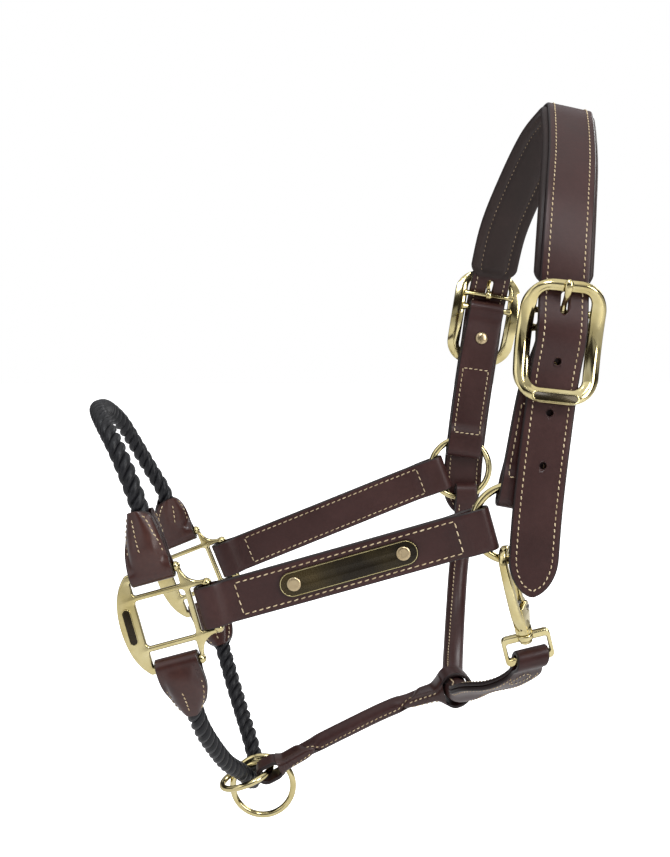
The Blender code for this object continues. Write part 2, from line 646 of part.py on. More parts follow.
chin_rope = Path([nb2, nb2 - FN[1] * 8.0, (-238.8, -85.5, -344.0), (-236.2, -79.5, -356.0), (-232.6, -69.0, -372.5), (-227.2, -52.0, -391.0),
                  (-219.8, -31.0, -410.6), (-213.0, -12.0, -423.4), (-209.2, 0.0, -432.0), (-207.0, 10.0, -438.6),
                  (-206.0, 20.0, -441.6), (-205.6, 28.6, -438.6), (-206.4, 33.4, -430.4), (-210.5, 42.0, -418.5),
                  (-217.2, 58.0, -405.0), (-223.8, 70.0, -389.0), (-230.4, 79.0, -370.0), (-236.4, 85.4, -353.5), fb2 - FF[1] * 8.0, fb2],
                 [(0, FN[0]), (0.2, (1, 0, 0)), (0.5, (1, 0, 0)), (0.8, (1, 0, 0)), (1, FF[0])])


def tab(name, path, at_start, long, half=13.0):
    """A rope-end tab: one ply folded round the fitting's bar, cupped round the rope's end and sewn along its edges."""
    s_end = 0.0 if at_start else path.length
    sg = 1 if at_start else -1

    def d(s):
        return (s - s_end) * sg

    def width(s):
        x = d(s)
        if x < 8:
            return 2 * half
        k = (x - 8) / (long - 8)
        return 2 * (half * (1 - 0.10 * k) * (1 - max(0, k - 0.45) ** 2 * 1.1))
    # the bulge over the rope's end
    R0 = ROPE_R + 0.35

    def build():
        flat = (TAB_PLY + 0.3) / 2
        xs = [0.0, 3.5, 7.5, 11.0, 15.0, 21.0, 27.0, 33.0]
        xs = [x for x in xs if x < long - 1.5] + [long]
        H = 3.5 + TAB_PLY / 2
        line = []
        for x in reversed(xs):
            line.append((x, 1))
        line += [(a, 0) for a in range(1, 6)]
        for x in xs:
            line.append((x, -1))
        secs = []
        for x, side in line:
            pts = []
            if side == 0:
                a = math.pi / 2 - math.pi * x / 6
                cs, cn, ns, nz, w, bul = -H * math.cos(a), H * math.sin(a), -math.cos(a), math.sin(a), half, 0.0
            else:
                k = ss((x - 0.8) / 9.0)
                cs, cn = x, (H * (1 - k) + flat * k) * side
                ns, nz = 0.0, float(side)
                w = width(s_end + sg * x) / 2
                bul = ss((x - 5.0) / 9.0)
            for e, order in ((1, range(7)), (-1, range(6, -1, -1))):
                for j in order:
                    q = j / 3 - 1
                    lift = R0 * 1.06 * max(0.0, math.cos(math.pi / 2 * min(1.0, abs(q) * w / 9.6))) * bul
                    nn_ = cn + nz * e * TAB_PLY / 2 + side * max(0.0, lift)
                    pts.append(path.at(s_end + sg * (cs + ns * e * TAB_PLY / 2), nn_, q * w))
            secs.append(pts)
        return loft(name, secs, LEATHER, smooth=40)
    return build()


tab("near_upper_rope_tab", nose_rope, True, 37.0)
tab("far_upper_rope_tab", nose_rope, False, 31.0)
tab("near_lower_rope_tab", chin_rope, True, 31.0)
tab("far_lower_rope_tab", chin_rope, False, 31.0)
tube("nose_rope", nose_rope, 18.0, nose_rope.length - 18.0, ROPE_R, ROPE, 10, 8)
tube("chin_rope", chin_rope, 18.0, chin_rope.length - 18.0, ROPE_R, ROPE, 10, 6)

# ---------------------------------------------------------------- chin ring and lead ring
d1 = Vector((math.cos(CHIN_PITCH), 0, math.sin(CHIN_PITCH)))
ring("chin_ring", CHIN_C, d1.cross(Vector((0, 1, 0))), d1, CHIN_R, CHIN_W, BRASS)
ring("lead_ring", LEAD_C, (0, 1, 0), (1, 0, 0), LEAD_R, LEAD_W, BRASS)

# ---------------------------------------------------------------- throat strap with its cord core
hook_p = RING_NEAR + Vector((math.cos(SNAP_AT), 0, math.sin(SNAP_AT))) * RING_R
SA = Vector((0.262, 0.210, -0.942)).normalized()          # down the snap
EYE_TOP, EYE_BOT = 50.5, 65.5
eye_bar = hook_p + SA * EYE_BOT
BE = (Vector((1, 0, 0)) - SA * SA.x).normalized()          # along the eye's bars
EN = BE.cross(SA).normalized()
throat = Path([RING_FAR + Vector((4.6, 0, -12.7)), RING_FAR + Vector((4.4, 0, -27.0)), (-51.2, 97.2, -274.0), (-53.8, 94.6, -290.0), (-56.6, 90.0, -310.0), (-60.0, 77.0, -337.0),
               (-64.0, 55.0, -358.0), (-67.8, 29.0, -369.0), (-70.0, 3.0, -371.6), (-67.8, -23.0, -367.0), (-60.5, -46.0, -356.5),
               (-48.0, -64.5, -348.0), (-38.6, -76.0, -338.0), eye_bar], [(0, (1, 0, 0)), (0.75, (1, 0, 0)), (0.92, BE), (1, BE)], ortho=False)
TL = throat.length
roll_from, roll_to = 20.0, throat.near((-70.0, 3.0, -371.6)) + 15.0


def throat_roll(s):
    return ss((s - roll_from) / 16.0) * (1 - ss((s - roll_to) / 26.0))


band("throat_strap", throat, (0.0, 'loop', 3.2, 6.6, 9.0), (TL + 3.75 + PLY / 2, 'loop', 3.75, 1.0, 9.0), PLY,
     lambda s: 16.0 + 8.5 * ss((s - roll_to) / 20.0) - 5.6 * ss((s - (TL - 20.0)) / 12.0), LEATHER, roll=throat_roll, radius=lambda s: THROAT_R, step=11, across=2)
tube("throat_strap_core", throat, roll_from + 16.0, roll_to, THROAT_R - PLY - 0.75, CORE, 8, 9)

# ---------------------------------------------------------------- jowl strap with its cord core
JF = CHIN_C + d1 * CHIN_R + Vector((0, -4.0, 0))
jowl = Path([JF + Vector((-2.5, 0, -1.2)), JF + Vector((9.0, 0, 5.0)), (-165.0, -2.0, -410.0), (-140.0, -1.0, -397.6), (-118.0, 0.0, -387.2),
             (-98.0, 1.0, -379.4), (-84.0, 2.0, -375.2), (-70.0, 2.8, -371.7), (-58.0, 3.2, -368.8)],
            [(0, (-0.05, 0.98, 0.14)), (0.2, (-0.05, 0.98, 0.14)), (0.5, (0, 1, 0)), (0.85, (0, 1, 0)), (1, (0.05, 1, -0.12))])
JL = jowl.near((-70.0, 2.8, -371.7))           # where the throat strap passes through


def jowl_roll(s):
    return ss((s - 32.0) / 10.0) * (1 - ss((s - (JL - 42.0)) / 12.0))


band("jowl_strap", jowl, (-4.6 - PLY / 2, 'loop', 4.2, 6.5, 8.0), (JL + 9.2 + PLY / 2, 'loop', 9.2, 2.5, 13.5), PLY,
     lambda s: 13.0 + 7.0 * ss((s - (JL - 40)) / 30.0), LEATHER, roll=jowl_roll, radius=lambda s: JOWL_R, step=9.0, across=2)
tube("jowl_strap_core", jowl, 42.5, JL - 43.0, JOWL_R - PLY - 0.55, CORE, 8, 9)


# ---------------------------------------------------------------- snap hook
SE = Vector((0.42, 0.906, 0.0))
SE = (SE - SA * SE.dot(SA)).normalized()                   # from the hook's back to its gate
SN = SA.cross(SE).normalized()


def snap_at(e, a, n=0.0):
    return hook_p + SE * e + SA * a + SN * n


def rect_sweep(name, line, half_in, half_n, mat, origin=None, closed=False):
    """A bar of rectangular section with cut corners, bent in the snap's plane."""
    secs = []
    m = len(line)
    for i, (e, a) in enumerate(line):
        e0, a0 = line[(i - 1) % m] if closed or i else line[0]
        e1, a1 = line[(i + 1) % m] if closed or i < m - 1 else line[-1]
        t = Vector((e1 - e0, a1 - a0)).normalized()
        nx, ny = -t.y, t.x
        hi = half_in(i) if callable(half_in) else half_in
        c = 0.35
        prof = [(-hi, -half_n * c), (-hi, half_n * c), (-hi * c, half_n), (hi * c, half_n), (hi, half_n * c), (hi, -half_n * c), (hi * c, -half_n), (-hi * c, -half_n)]
        secs.append([snap_at(e + nx * x, a + ny * x, z) for x, z in prof])
    return loft(name, secs, mat, closed=closed, smooth=40, origin=origin)


arc = [(7.6 * math.cos(math.radians(180 + 180 * j / 10)), 1.3 + 7.6 * math.sin(math.radians(180 + 180 * j / 10))) for j in range(11)]
line = [(0.3, 45.8), (0.1, 43.6), (-2.8, 39.5), (-6.2, 33.0), (-7.4, 24.0), (-7.6, 12.0)] + arc + [(7.4, 6.0)]
half = [5.0, 5.0, 4.2, 3.4, 2.8, 2.5] + [2.3] * 11 + [1.6]
rect_sweep("snap_body", line, lambda i: half[i], 2.9, BRASS)
gate_line = [(6.2, 6.6), (9.2, 6.6), (9.7, 14.0), (9.8, 29.5), (11.4, 31.0), (12.0, 35.5), (10.2, 38.6), (6.6, 39.4), (5.6, 36.0), (5.7, 20.0)]
GP = (7.7, 35.6)                                             # gate pivot
gate_pivot = snap_at(*GP)
plate("snap_gate", (hook_p, SE, SA, SN), gate_line,
      [[(GP[0] + 1.3 * math.cos(2 * math.pi * j / 10), GP[1] + 1.3 * math.sin(2 * math.pi * j / 10)) for j in range(10)]],
      -1.7, 1.7, BRASS, origin=gate_pivot)
turned("snap_gate_pin", gate_pivot, SN, SE, [(-4.2, 1.4), (-4.1, 1.7), (-3.75, 1.7), (-3.75, 0.95), (3.75, 0.95), (3.75, 1.7), (4.1, 1.7), (4.2, 1.4)],
       STEEL, 10, origin=gate_pivot)
turned("snap_gate_spring", snap_at(-2.5, 30.4), SE, SA, [(0.0, 1.2), (7.7, 1.2)], STEEL, 10)

body = bpy.data.objects["snap_body"]


def guide(o):
    o.hide_render = True
    o.display_type = 'WIRE'
    return o


def join(o, tool, op='UNION'):
    m = o.modifiers.new("part", 'BOOLEAN')
    m.operation = op
    m.solver = 'EXACT'
    m.object = guide(tool)


lug_line = [(-3.5, 31.5), (8.4, 31.0), (10.6, 34.0), (10.4, 38.0), (7.5, 41.5), (4.5, 46.0), (-3.5, 46.0)]
for k, (z0, z1) in enumerate(((2.1, 3.4), (-3.4, -2.1))):
    join(body, plate("snap_lug_guide_%d" % k, (hook_p, SE, SA, SN), lug_line, [], z0, z1, BRASS))
join(body, turned("snap_stem_guide", snap_at(0.3, 0), SA, SE, [(44.0, 4.9), (47.9, 4.9), (48.0, 2.4), (53.1, 2.4), (53.1, 3.7), (54.3, 3.7), (54.8, 2.6)], BRASS, 16))
join(body, turned("snap_pin_hole_guide", gate_pivot, SN, SE, [(-5.0, 1.25), (5.0, 1.25)], BRASS, 10), 'DIFFERENCE')

# the swivel eye that holds the throat strap
eye_c = snap_at(0.3, 0)
e_top, e_bot = 48.35, 67.7
eye_out = [(x, y + (e_top + e_bot) / 2) for x, y in rounded(14.6, (e_bot - e_top) / 2, 3.2, 3)]
eye_in = [(x, y + (52.8 + 63.1) / 2) for x, y in rounded(12.1, (63.1 - 52.8) / 2, 1.0, 2)]
eye = plate("snap_swivel_eye", (eye_c, BE, SA, BE.cross(SA)), eye_out, [eye_in], -2.1, 2.1, BRASS)
join(eye, turned("eye_boss_guide", eye_c, SA, BE, [(48.6, 5.0), (52.45, 5.0)], BRASS, 16))
join(eye, turned("eye_bore_guide", eye_c, SA, BE, [(47.0, 2.75), (54.0, 2.75)], BRASS, 16), 'DIFFERENCE')
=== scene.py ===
"""Looks for the leather headcollar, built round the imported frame. Millimetres inside, metres out."""
import bpy
import math
from mathutils import Vector, Matrix, noise
from mathutils.geometry import tessellate_polygon


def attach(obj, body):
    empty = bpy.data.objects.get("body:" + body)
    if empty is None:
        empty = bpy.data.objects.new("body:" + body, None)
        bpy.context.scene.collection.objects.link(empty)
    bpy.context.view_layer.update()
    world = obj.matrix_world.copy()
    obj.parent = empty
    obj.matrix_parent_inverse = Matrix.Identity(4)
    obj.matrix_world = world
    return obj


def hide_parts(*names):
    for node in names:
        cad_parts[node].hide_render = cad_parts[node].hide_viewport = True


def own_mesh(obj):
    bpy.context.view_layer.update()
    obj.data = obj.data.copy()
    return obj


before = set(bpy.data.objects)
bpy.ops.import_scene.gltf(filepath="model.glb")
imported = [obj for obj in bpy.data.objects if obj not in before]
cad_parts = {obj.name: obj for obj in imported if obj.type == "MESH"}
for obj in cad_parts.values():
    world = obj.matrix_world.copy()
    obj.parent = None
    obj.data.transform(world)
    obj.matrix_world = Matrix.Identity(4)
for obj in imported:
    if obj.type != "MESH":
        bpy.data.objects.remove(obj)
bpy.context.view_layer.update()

MM = 0.001
CROWN_W, CROWN_T, LINING_W, NOSE_W, CHEEK_W, PLY, TAB_PLY = 28.5, 3.2, 34.0, 25.4, 25.4, 2.6, 2.4
ROPE_R, THROAT_R, JOWL_R = 5.5, 7.2, 5.6
GAP = 0.35
CROWN_PTS = [(-41.0, -111.6, -284.0), (-38.1, -109.4, -240.0), (-35.2, -107.8, -212.0), (-30.6, -105.2, -176.0),
             (-26.0, -104.5, -140.0), (-23.6, -103.8, -112.0), (-21.4, -100.0, -86.0), (-17.6, -88.5, -57.0),
             (-11.5, -65.0, -28.0), (-6.1, -35.0, -1.5), (-2.1, -10.0, 7.72), (-2.1, 10.0, 7.72), (-7.6, 35.0, -1.5),
             (-17.5, 65.0, -28.0), (-27.0, 87.5, -59.0), (-32.5, 98.0, -90.0), (-35.5, 102.0, -110.0),
             (-39.2, 102.8, -134.0), (-43.8, 103.3, -165.0), (-48.0, 106.4, -200.0), (-51.2, 107.6, -232.0),
             (-53.0, 108.2, -271.6)]
RING_NEAR, RING_FAR = Vector((-51.0, -99.0, -243.4)), Vector((-55.0, 98.0, -235.0))
FIT_NEAR, FIT_FAR = Vector((-250.6, -88.5, -300.4)), Vector((-253.9, 88.0, -310.6))
CHIN_C, LEAD_C = Vector((-209.7, 2.0, -432.0)), Vector((-199.0, 8.0, -441.5))
CHIN_PITCH = math.radians(20.0)
SNAP_AT = math.radians(-96.0)


# ================================================================ materials
def new_mat(name):
    m = bpy.data.materials.new(name)
    m.use_nodes = True
    nt = m.node_tree
    return m, nt, nt.nodes["Principled BSDF"]


def ramp(nt, stops, src):
    r = nt.nodes.new("ShaderNodeValToRGB")
    while len(r.color_ramp.elements) < len(stops):
        r.color_ramp.elements.new(0.5)
    for e, (p, c) in zip(r.color_ramp.elements, stops):
        e.position = p
        e.color = (*c, 1) if len(c) == 3 else c
    nt.links.new(src, r.inputs[0])
    return r


def tex(nt, kind, scale, co, **kw):
    t = nt.nodes.new(kind)
    t.inputs["Scale"].default_value = scale
    for k, v in kw.items():
        if k in t.inputs:
            t.inputs[k].default_value = v
        else:
            setattr(t, k, v)
    nt.links.new(co, t.inputs["Vector"])
    return t


def math_node(nt, op, a, b):
    n = nt.nodes.new("ShaderNodeMath")
    n.operation = op
    for i, v in enumerate((a, b)):
        if isinstance(v, (int, float)):
            n.inputs[i].default_value = v
        else:
            nt.links.new(v, n.inputs[i])
    return n.outputs[0]


def bump(nt, b, height, strength, dist, normal=None):
    n = nt.nodes.new("ShaderNodeBump")
    n.inputs["Strength"].default_value = strength
    n.inputs["Distance"].default_value = dist
    nt.links.new(height, n.inputs["Height"])
    if normal is not None:
        nt.links.new(normal, n.inputs["Normal"])
    if b is not None:
        nt.links.new(n.outputs[0], b.inputs["Normal"])
    return n.outputs[0]


def leather(name, dark, mid, light, rlo, rhi, coat, grain=0.16, edge=(0.012, 0.006, 0.006)):
    m, nt, b = new_mat(name)
    co = nt.nodes.new("ShaderNodeTexCoord").outputs["Object"]
    big = tex(nt, "ShaderNodeTexNoise", 22.0, co, Detail=3.0, Roughness=0.55)
    fine = tex(nt, "ShaderNodeTexNoise", 420.0, co, Detail=4.0, Roughness=0.6)
    cell = tex(nt, "ShaderNodeTexVoronoi", 1250.0, co, feature='SMOOTH_F1')
    pore = tex(nt, "ShaderNodeTexNoise", 2600.0, co, Detail=2.0, Roughness=0.5)
    mixv = math_node(nt, 'ADD', math_node(nt, 'MULTIPLY', big.outputs["Fac"], 0.72), math_node(nt, 'MULTIPLY', fine.outputs["Fac"], 0.28))
    r = ramp(nt, [(0.32, dark), (0.5, mid), (0.68, light)], mixv)
    at = nt.nodes.new("ShaderNodeAttribute")
    at.attribute_name = "edge"
    mix = nt.nodes.new("ShaderNodeMix")
    mix.data_type = 'RGBA'
    nt.links.new(at.outputs["Fac"], mix.inputs[0])
    nt.links.new(r.outputs[0], mix.inputs[6])
    mix.inputs[7].default_value = (*edge, 1)
    nt.links.new(mix.outputs[2], b.inputs["Base Color"])
    mr = nt.nodes.new("ShaderNodeMapRange")
    mr.inputs["From Min"].default_value, mr.inputs["From Max"].default_value = 0.3, 0.7
    mr.inputs["To Min"].default_value, mr.inputs["To Max"].default_value = rlo, rhi
    nt.links.new(mixv, mr.inputs["Value"])
    nt.links.new(mr.outputs[0], b.inputs["Roughness"])
    h = math_node(nt, 'ADD', math_node(nt, 'MULTIPLY', cell.outputs["Distance"], 0.8), math_node(nt, 'MULTIPLY', pore.outputs["Fac"], 0.35))
    n1 = bump(nt, None, h, grain, 0.00016)
    bump(nt, b, fine.outputs["Fac"], 0.12, 0.0004, n1)
    b.inputs["Coat Weight"].default_value = coat
    b.inputs["Coat Roughness"].default_value = 0.28
    b.inputs["Specular IOR Level"].default_value = 0.27
    return m


LEATHER = leather("leather_havana_waxed", (0.025, 0.0078, 0.0068), (0.034, 0.0112, 0.0098), (0.045, 0.0160, 0.0142), 0.34, 0.48, 0.10)
RED = leather("leather_tab_glazed", (0.023, 0.0070, 0.0055), (0.034, 0.0100, 0.0076), (0.052, 0.0165, 0.0115), 0.24, 0.36, 0.34, 0.12)
LINING = leather("leather_lining_soft", (0.015, 0.0080, 0.0068), (0.021, 0.0115, 0.0098), (0.029, 0.0160, 0.0138), 0.46, 0.60, 0.05, 0.28)


def thread_mat(name, a, c, d):
    m, nt, b = new_mat(name)
    co = nt.nodes.new("ShaderNodeTexCoord").outputs["Object"]
    n = tex(nt, "ShaderNodeTexNoise", 160.0, co, Detail=3.0)
    r = ramp(nt, [(0.3, a), (0.55, c), (0.75, d)], n.outputs["Fac"])
    nt.links.new(r.outputs[0], b.inputs["Base Color"])
    w = tex(nt, "ShaderNodeTexWave", 1900.0, co, bands_direction='DIAGONAL', Distortion=1.5)
    bump(nt, b, w.outputs["Fac"], 0.4, 0.0001)
    b.inputs["Roughness"].default_value = 0.62
    return m


def brass_mat(name, lo, hi, r0, r1):
    m, nt, b = new_mat(name)
    co = nt.nodes.new("ShaderNodeTexCoord").outputs["Object"]
    n = tex(nt, "ShaderNodeTexNoise", 60.0, co, Detail=4.0, Roughness=0.6)
    s = tex(nt, "ShaderNodeTexNoise", 900.0, co, Detail=3.0, Roughness=0.7)
    r = ramp(nt, [(0.3, lo), (0.7, hi)], n.outputs["Fac"])
    nt.links.new(r.outputs[0], b.inputs["Base Color"])
    mr = nt.nodes.new("ShaderNodeMapRange")
    mr.inputs["From Min"].default_value, mr.inputs["From Max"].default_value = 0.3, 0.75
    mr.inputs["To Min"].default_value, mr.inputs["To Max"].default_value = r0, r1
    nt.links.new(math_node(nt, 'ADD', math_node(nt, 'MULTIPLY', n.outputs["Fac"], 0.6), math_node(nt, 'MULTIPLY', s.outputs["Fac"], 0.4)), mr.inputs["Value"])
    nt.links.new(mr.outputs[0], b.inputs["Roughness"])
    n1 = bump(nt, None, s.outputs["Fac"], 0.03, 0.0001)
    bump(nt, b, n.outputs["Fac"], 0.05, 0.0006, n1)
    b.inputs["Metallic"].default_value = 1.0
    return m


def rope_mat():
    m, nt, b = new_mat("rope_black_fibre")
    co = nt.nodes.new("ShaderNodeTexCoord").outputs["Object"]
    uv = nt.nodes.new("ShaderNodeAttribute")
    uv.attribute_name = "yarn"
    n = tex(nt, "ShaderNodeTexNoise", 700.0, co, Detail=4.0, Roughness=0.65)
    r = ramp(nt, [(0.3, (0.0025, 0.0025, 0.0035)), (0.6, (0.006, 0.006, 0.008)), (0.8, (0.016, 0.0165, 0.021))], n.outputs["Fac"])
    nt.links.new(r.outputs[0], b.inputs["Base Color"])
    mr = nt.nodes.new("ShaderNodeMapRange")
    mr.inputs["To Min"].default_value, mr.inputs["To Max"].default_value = 0.30, 0.52
    nt.links.new(n.outputs["Fac"], mr.inputs["Value"])
    nt.links.new(mr.outputs[0], b.inputs["Roughness"])
    f = tex(nt, "ShaderNodeTexNoise", 2200.0, co, Detail=3.0, Roughness=0.7)
    bump(nt, b, f.outputs["Fac"], 0.35, 0.0002)
    b.inputs["Specular IOR Level"].default_value = 0.3
    b.inputs["Sheen Weight"].default_value = 0.03
    b.inputs["Sheen Roughness"].default_value = 0.4
    return m


def plate_mat():
    m, nt, b = new_mat("plate_dark_enamel")
    co = nt.nodes.new("ShaderNodeTexCoord").outputs["Object"]
    n = tex(nt, "ShaderNodeTexNoise", 35.0, co, Detail=3.0)
    r = ramp(nt, [(0.35, (0.012, 0.008, 0.003)), (0.55, (0.030, 0.021, 0.007)), (0.75, (0.055, 0.037, 0.011))], n.outputs["Fac"])
    nt.links.new(r.outputs[0], b.inputs["Base Color"])
    s = tex(nt, "ShaderNodeTexNoise", 1400.0, co, Detail=2.0)
    mr = nt.nodes.new("ShaderNodeMapRange")
    mr.inputs["To Min"].default_value, mr.inputs["To Max"].default_value = 0.2, 0.36
    nt.links.new(s.outputs["Fac"], mr.inputs["Value"])
    nt.links.new(mr.outputs[0], b.inputs["Roughness"])
    bump(nt, b, s.outputs["Fac"], 0.06, 0.0001)
    b.inputs["Metallic"].default_value = 0.55
    b.inputs["Coat Weight"].default_value = 0.12
    b.inputs["Coat Roughness"].default_value = 0.12
    b.inputs["Specular IOR Level"].default_value = 0.3
    return m


def soft_mat(name, a, c):
    m, nt, b = new_mat(name)
    co = nt.nodes.new("ShaderNodeTexCoord").outputs["Object"]
    n = tex(nt, "ShaderNodeTexNoise", 900.0, co, Detail=3.0)
    nt.links.new(ramp(nt, [(0.3, a), (0.7, c)], n.outputs["Fac"]).outputs[0], b.inputs["Base Color"])
    bump(nt, b, n.outputs["Fac"], 0.3, 0.0003)
    b.inputs["Roughness"].default_value = 0.9
    return m


THREAD = thread_mat("thread_cream_waxed", (0.34, 0.24, 0.13), (0.56, 0.44, 0.27), (0.70, 0.58, 0.39))
DIM = thread_mat("thread_brown_waxed", (0.10, 0.065, 0.035), (0.19, 0.135, 0.08), (0.30, 0.22, 0.14))
BRASS = brass_mat("brass_polished_pale", (0.50, 0.41, 0.18), (0.64, 0.56, 0.31), 0.07, 0.16)
RIVET = brass_mat("brass_rivet_satin", (0.40, 0.30, 0.17), (0.52, 0.42, 0.26), 0.22, 0.36)
STEEL = brass_mat("steel_spring", (0.40, 0.39, 0.37), (0.58, 0.57, 0.54), 0.22, 0.36)
ROPE = rope_mat()
PLATE = plate_mat()
CORE = soft_mat("cord_core_cotton", (0.45, 0.41, 0.33), (0.62, 0.58, 0.50))


# ================================================================ mesh helpers
def solid(name, verts, faces, mat, smooth=50, edge=None):
    me = bpy.data.meshes.new(name)
    me.from_pydata([Vector(v) * MM for v in verts], [], faces)
    me.validate()
    me.materials.append(mat)
    me.shade_smooth()
    if smooth is not None:
        me.set_sharp_from_angle(angle=math.radians(smooth))
    if edge is not None:
        a = me.attributes.new("edge", 'FLOAT', 'POINT')
        a.data.foreach_set("value", edge)
    o = bpy.data.objects.new(name, me)
    bpy.context.scene.collection.objects.link(o)
    return o


def facing_out(verts, faces):
    vol = 0.0
    for f in faces:
        a = verts[f[0]]
        for i in range(1, len(f) - 1):
            vol += a.dot(verts[f[i]].cross(verts[f[i + 1]]))
    return [tuple(reversed(f)) for f in faces] if vol < 0 else faces


def skin(sections, closed=False):
    k, n = len(sections[0]), len(sections)
    verts = [Vector(p) for s in sections for p in s]
    faces = []
    for i in range(n if closed else n - 1):
        a, b = i * k, ((i + 1) % n) * k
        for j in range(k):
            jj = (j + 1) % k
            faces.append((a + j, a + jj, b + jj, b + j))
    if not closed:
        faces.append(tuple(reversed(range(k))))
        faces.append(tuple((n - 1) * k + j for j in range(k)))
    return verts, facing_out(verts, faces)


def loft(name, sections, mat, closed=False, smooth=50, edge=None):
    v, f = skin(sections, closed)
    return solid(name, v, f, mat, smooth, edge)


class Bag:
    """Several closed bodies gathered into one mesh."""

    def __init__(self):
        self.v, self.f = [], []

    def add(self, v, f):
        k = len(self.v)
        self.v += v
        self.f += [tuple(i + k for i in q) for q in f]

    def make(self, name, mat, smooth=60):
        return solid(name, self.v, self.f, mat, smooth)


class Path:
    def __init__(self, pts, wrefs, fine=24, ortho=True):
        p = [Vector(q) for q in pts]
        self.ortho = ortho
        ends = [p[0] * 2 - p[1]] + p + [p[-1] * 2 - p[-2]]
        out, par = [], []
        for i in range(1, len(ends) - 2):
            p0, p1, p2, p3 = ends[i - 1:i + 3]
            d1, d2, d3 = ((p1 - p0).length ** 0.5, (p2 - p1).length ** 0.5, (p3 - p2).length ** 0.5)
            m1 = (p2 - p1 + d2 * ((p1 - p0) / d1 - (p2 - p0) / (d1 + d2)))
            m2 = (p2 - p1 + d2 * ((p3 - p2) / d3 - (p3 - p1) / (d2 + d3)))
            for j in range(fine):
                u = j / fine
                out.append(p1 * (2 * u ** 3 - 3 * u ** 2 + 1) + m1 * (u ** 3 - 2 * u ** 2 + u)
                           + p2 * (3 * u ** 2 - 2 * u ** 3) + m2 * (u ** 3 - u ** 2))
                par.append((i - 1 + u) / (len(p) - 1))
        out.append(p[-1])
        par.append(1.0)
        self.p, self.par, self.s = out, par, [0.0]
        for a, b in zip(out, out[1:]):
            self.s.append(self.s[-1] + (b - a).length)
        self.length = self.s[-1]
        self.wrefs = [(u, Vector(w)) for u, w in wrefs]

    def find(self, s):
        lo, hi = 0, len(self.s) - 1
        while hi - lo > 1:
            mid = (lo + hi) // 2
            if self.s[mid] <= s:
                lo = mid
            else:
                hi = mid
        return lo, (s - self.s[lo]) / (self.s[lo + 1] - self.s[lo])

    def point(self, s):
        if s <= 0:
            return self.p[0] + (self.p[1] - self.p[0]).normalized() * s
        if s >= self.length:
            return self.p[-1] + (self.p[-1] - self.p[-2]).normalized() * (s - self.length)
        i, f = self.find(s)
        return self.p[i].lerp(self.p[i + 1], f)

    def frame(self, s):
        c = min(max(s, 0.6), self.length - 0.6)
        t = (self.point(c + 1.5) - self.point(c - 1.5)).normalized()
        i, f = self.find(c)
        u = self.par[i] + (self.par[i + 1] - self.par[i]) * f
        w = self.wrefs[0][1]
        for (u0, w0), (u1, w1) in zip(self.wrefs, self.wrefs[1:]):
            if u0 <= u <= u1:
                k = (u - u0) / (u1 - u0)
                k = k * k * (3 - 2 * k)
                w = w0.lerp(w1, k)
            elif u > u1:
                w = w1
        w = (w - t * w.dot(t)).normalized() if self.ortho else w.normalized()
        n = w.cross(t).normalized()
        return t, w, n

    def at(self, s, n=0.0, w=0.0):
        t, wv, nv = self.frame(s)
        return self.point(s) + wv * w + nv * n

    def near(self, q):
        q = Vector(q)
        return min(((p - q).length, s) for p, s in zip(self.p, self.s))[1]


def ss(x):
    x = min(max(x, 0.0), 1.0)
    return x * x * (3 - 2 * x)


def rim(hw, ht, m, r):
    """Round-cornered strap section: (across, out, edge) going round."""
    r = min(r, ht * 0.96, hw * 0.5)
    pts = [(-(hw - r) + 2 * (hw - r) * j / m, ht, 0.0) for j in range(m + 1)]
    for j in (1, 2, 3):
        a = math.pi / 2 * (1 - j / 3)
        pts.append((hw - r + r * math.cos(a), ht - r + r * math.sin(a), 1.0))
    for j in (0, 1, 2):
        a = -math.pi / 2 * j / 3
        pts.append((hw - r + r * math.cos(a), -ht + r + r * math.sin(a), 1.0))
    pts += [((hw - r) - 2 * (hw - r) * j / m, -ht, 0.0) for j in range(m + 1)]
    for j in (1, 2, 3):
        a = -math.pi / 2 * (1 - j / 3)
        pts.append((-(hw - r) - r * math.cos(a), -ht + r + r * math.sin(a), 1.0))
    for j in (0, 1, 2):
        a = math.pi / 2 * j / 3
        pts.append((-(hw - r) - r * math.cos(a), ht - r + r * math.sin(a), 1.0))
    return pts


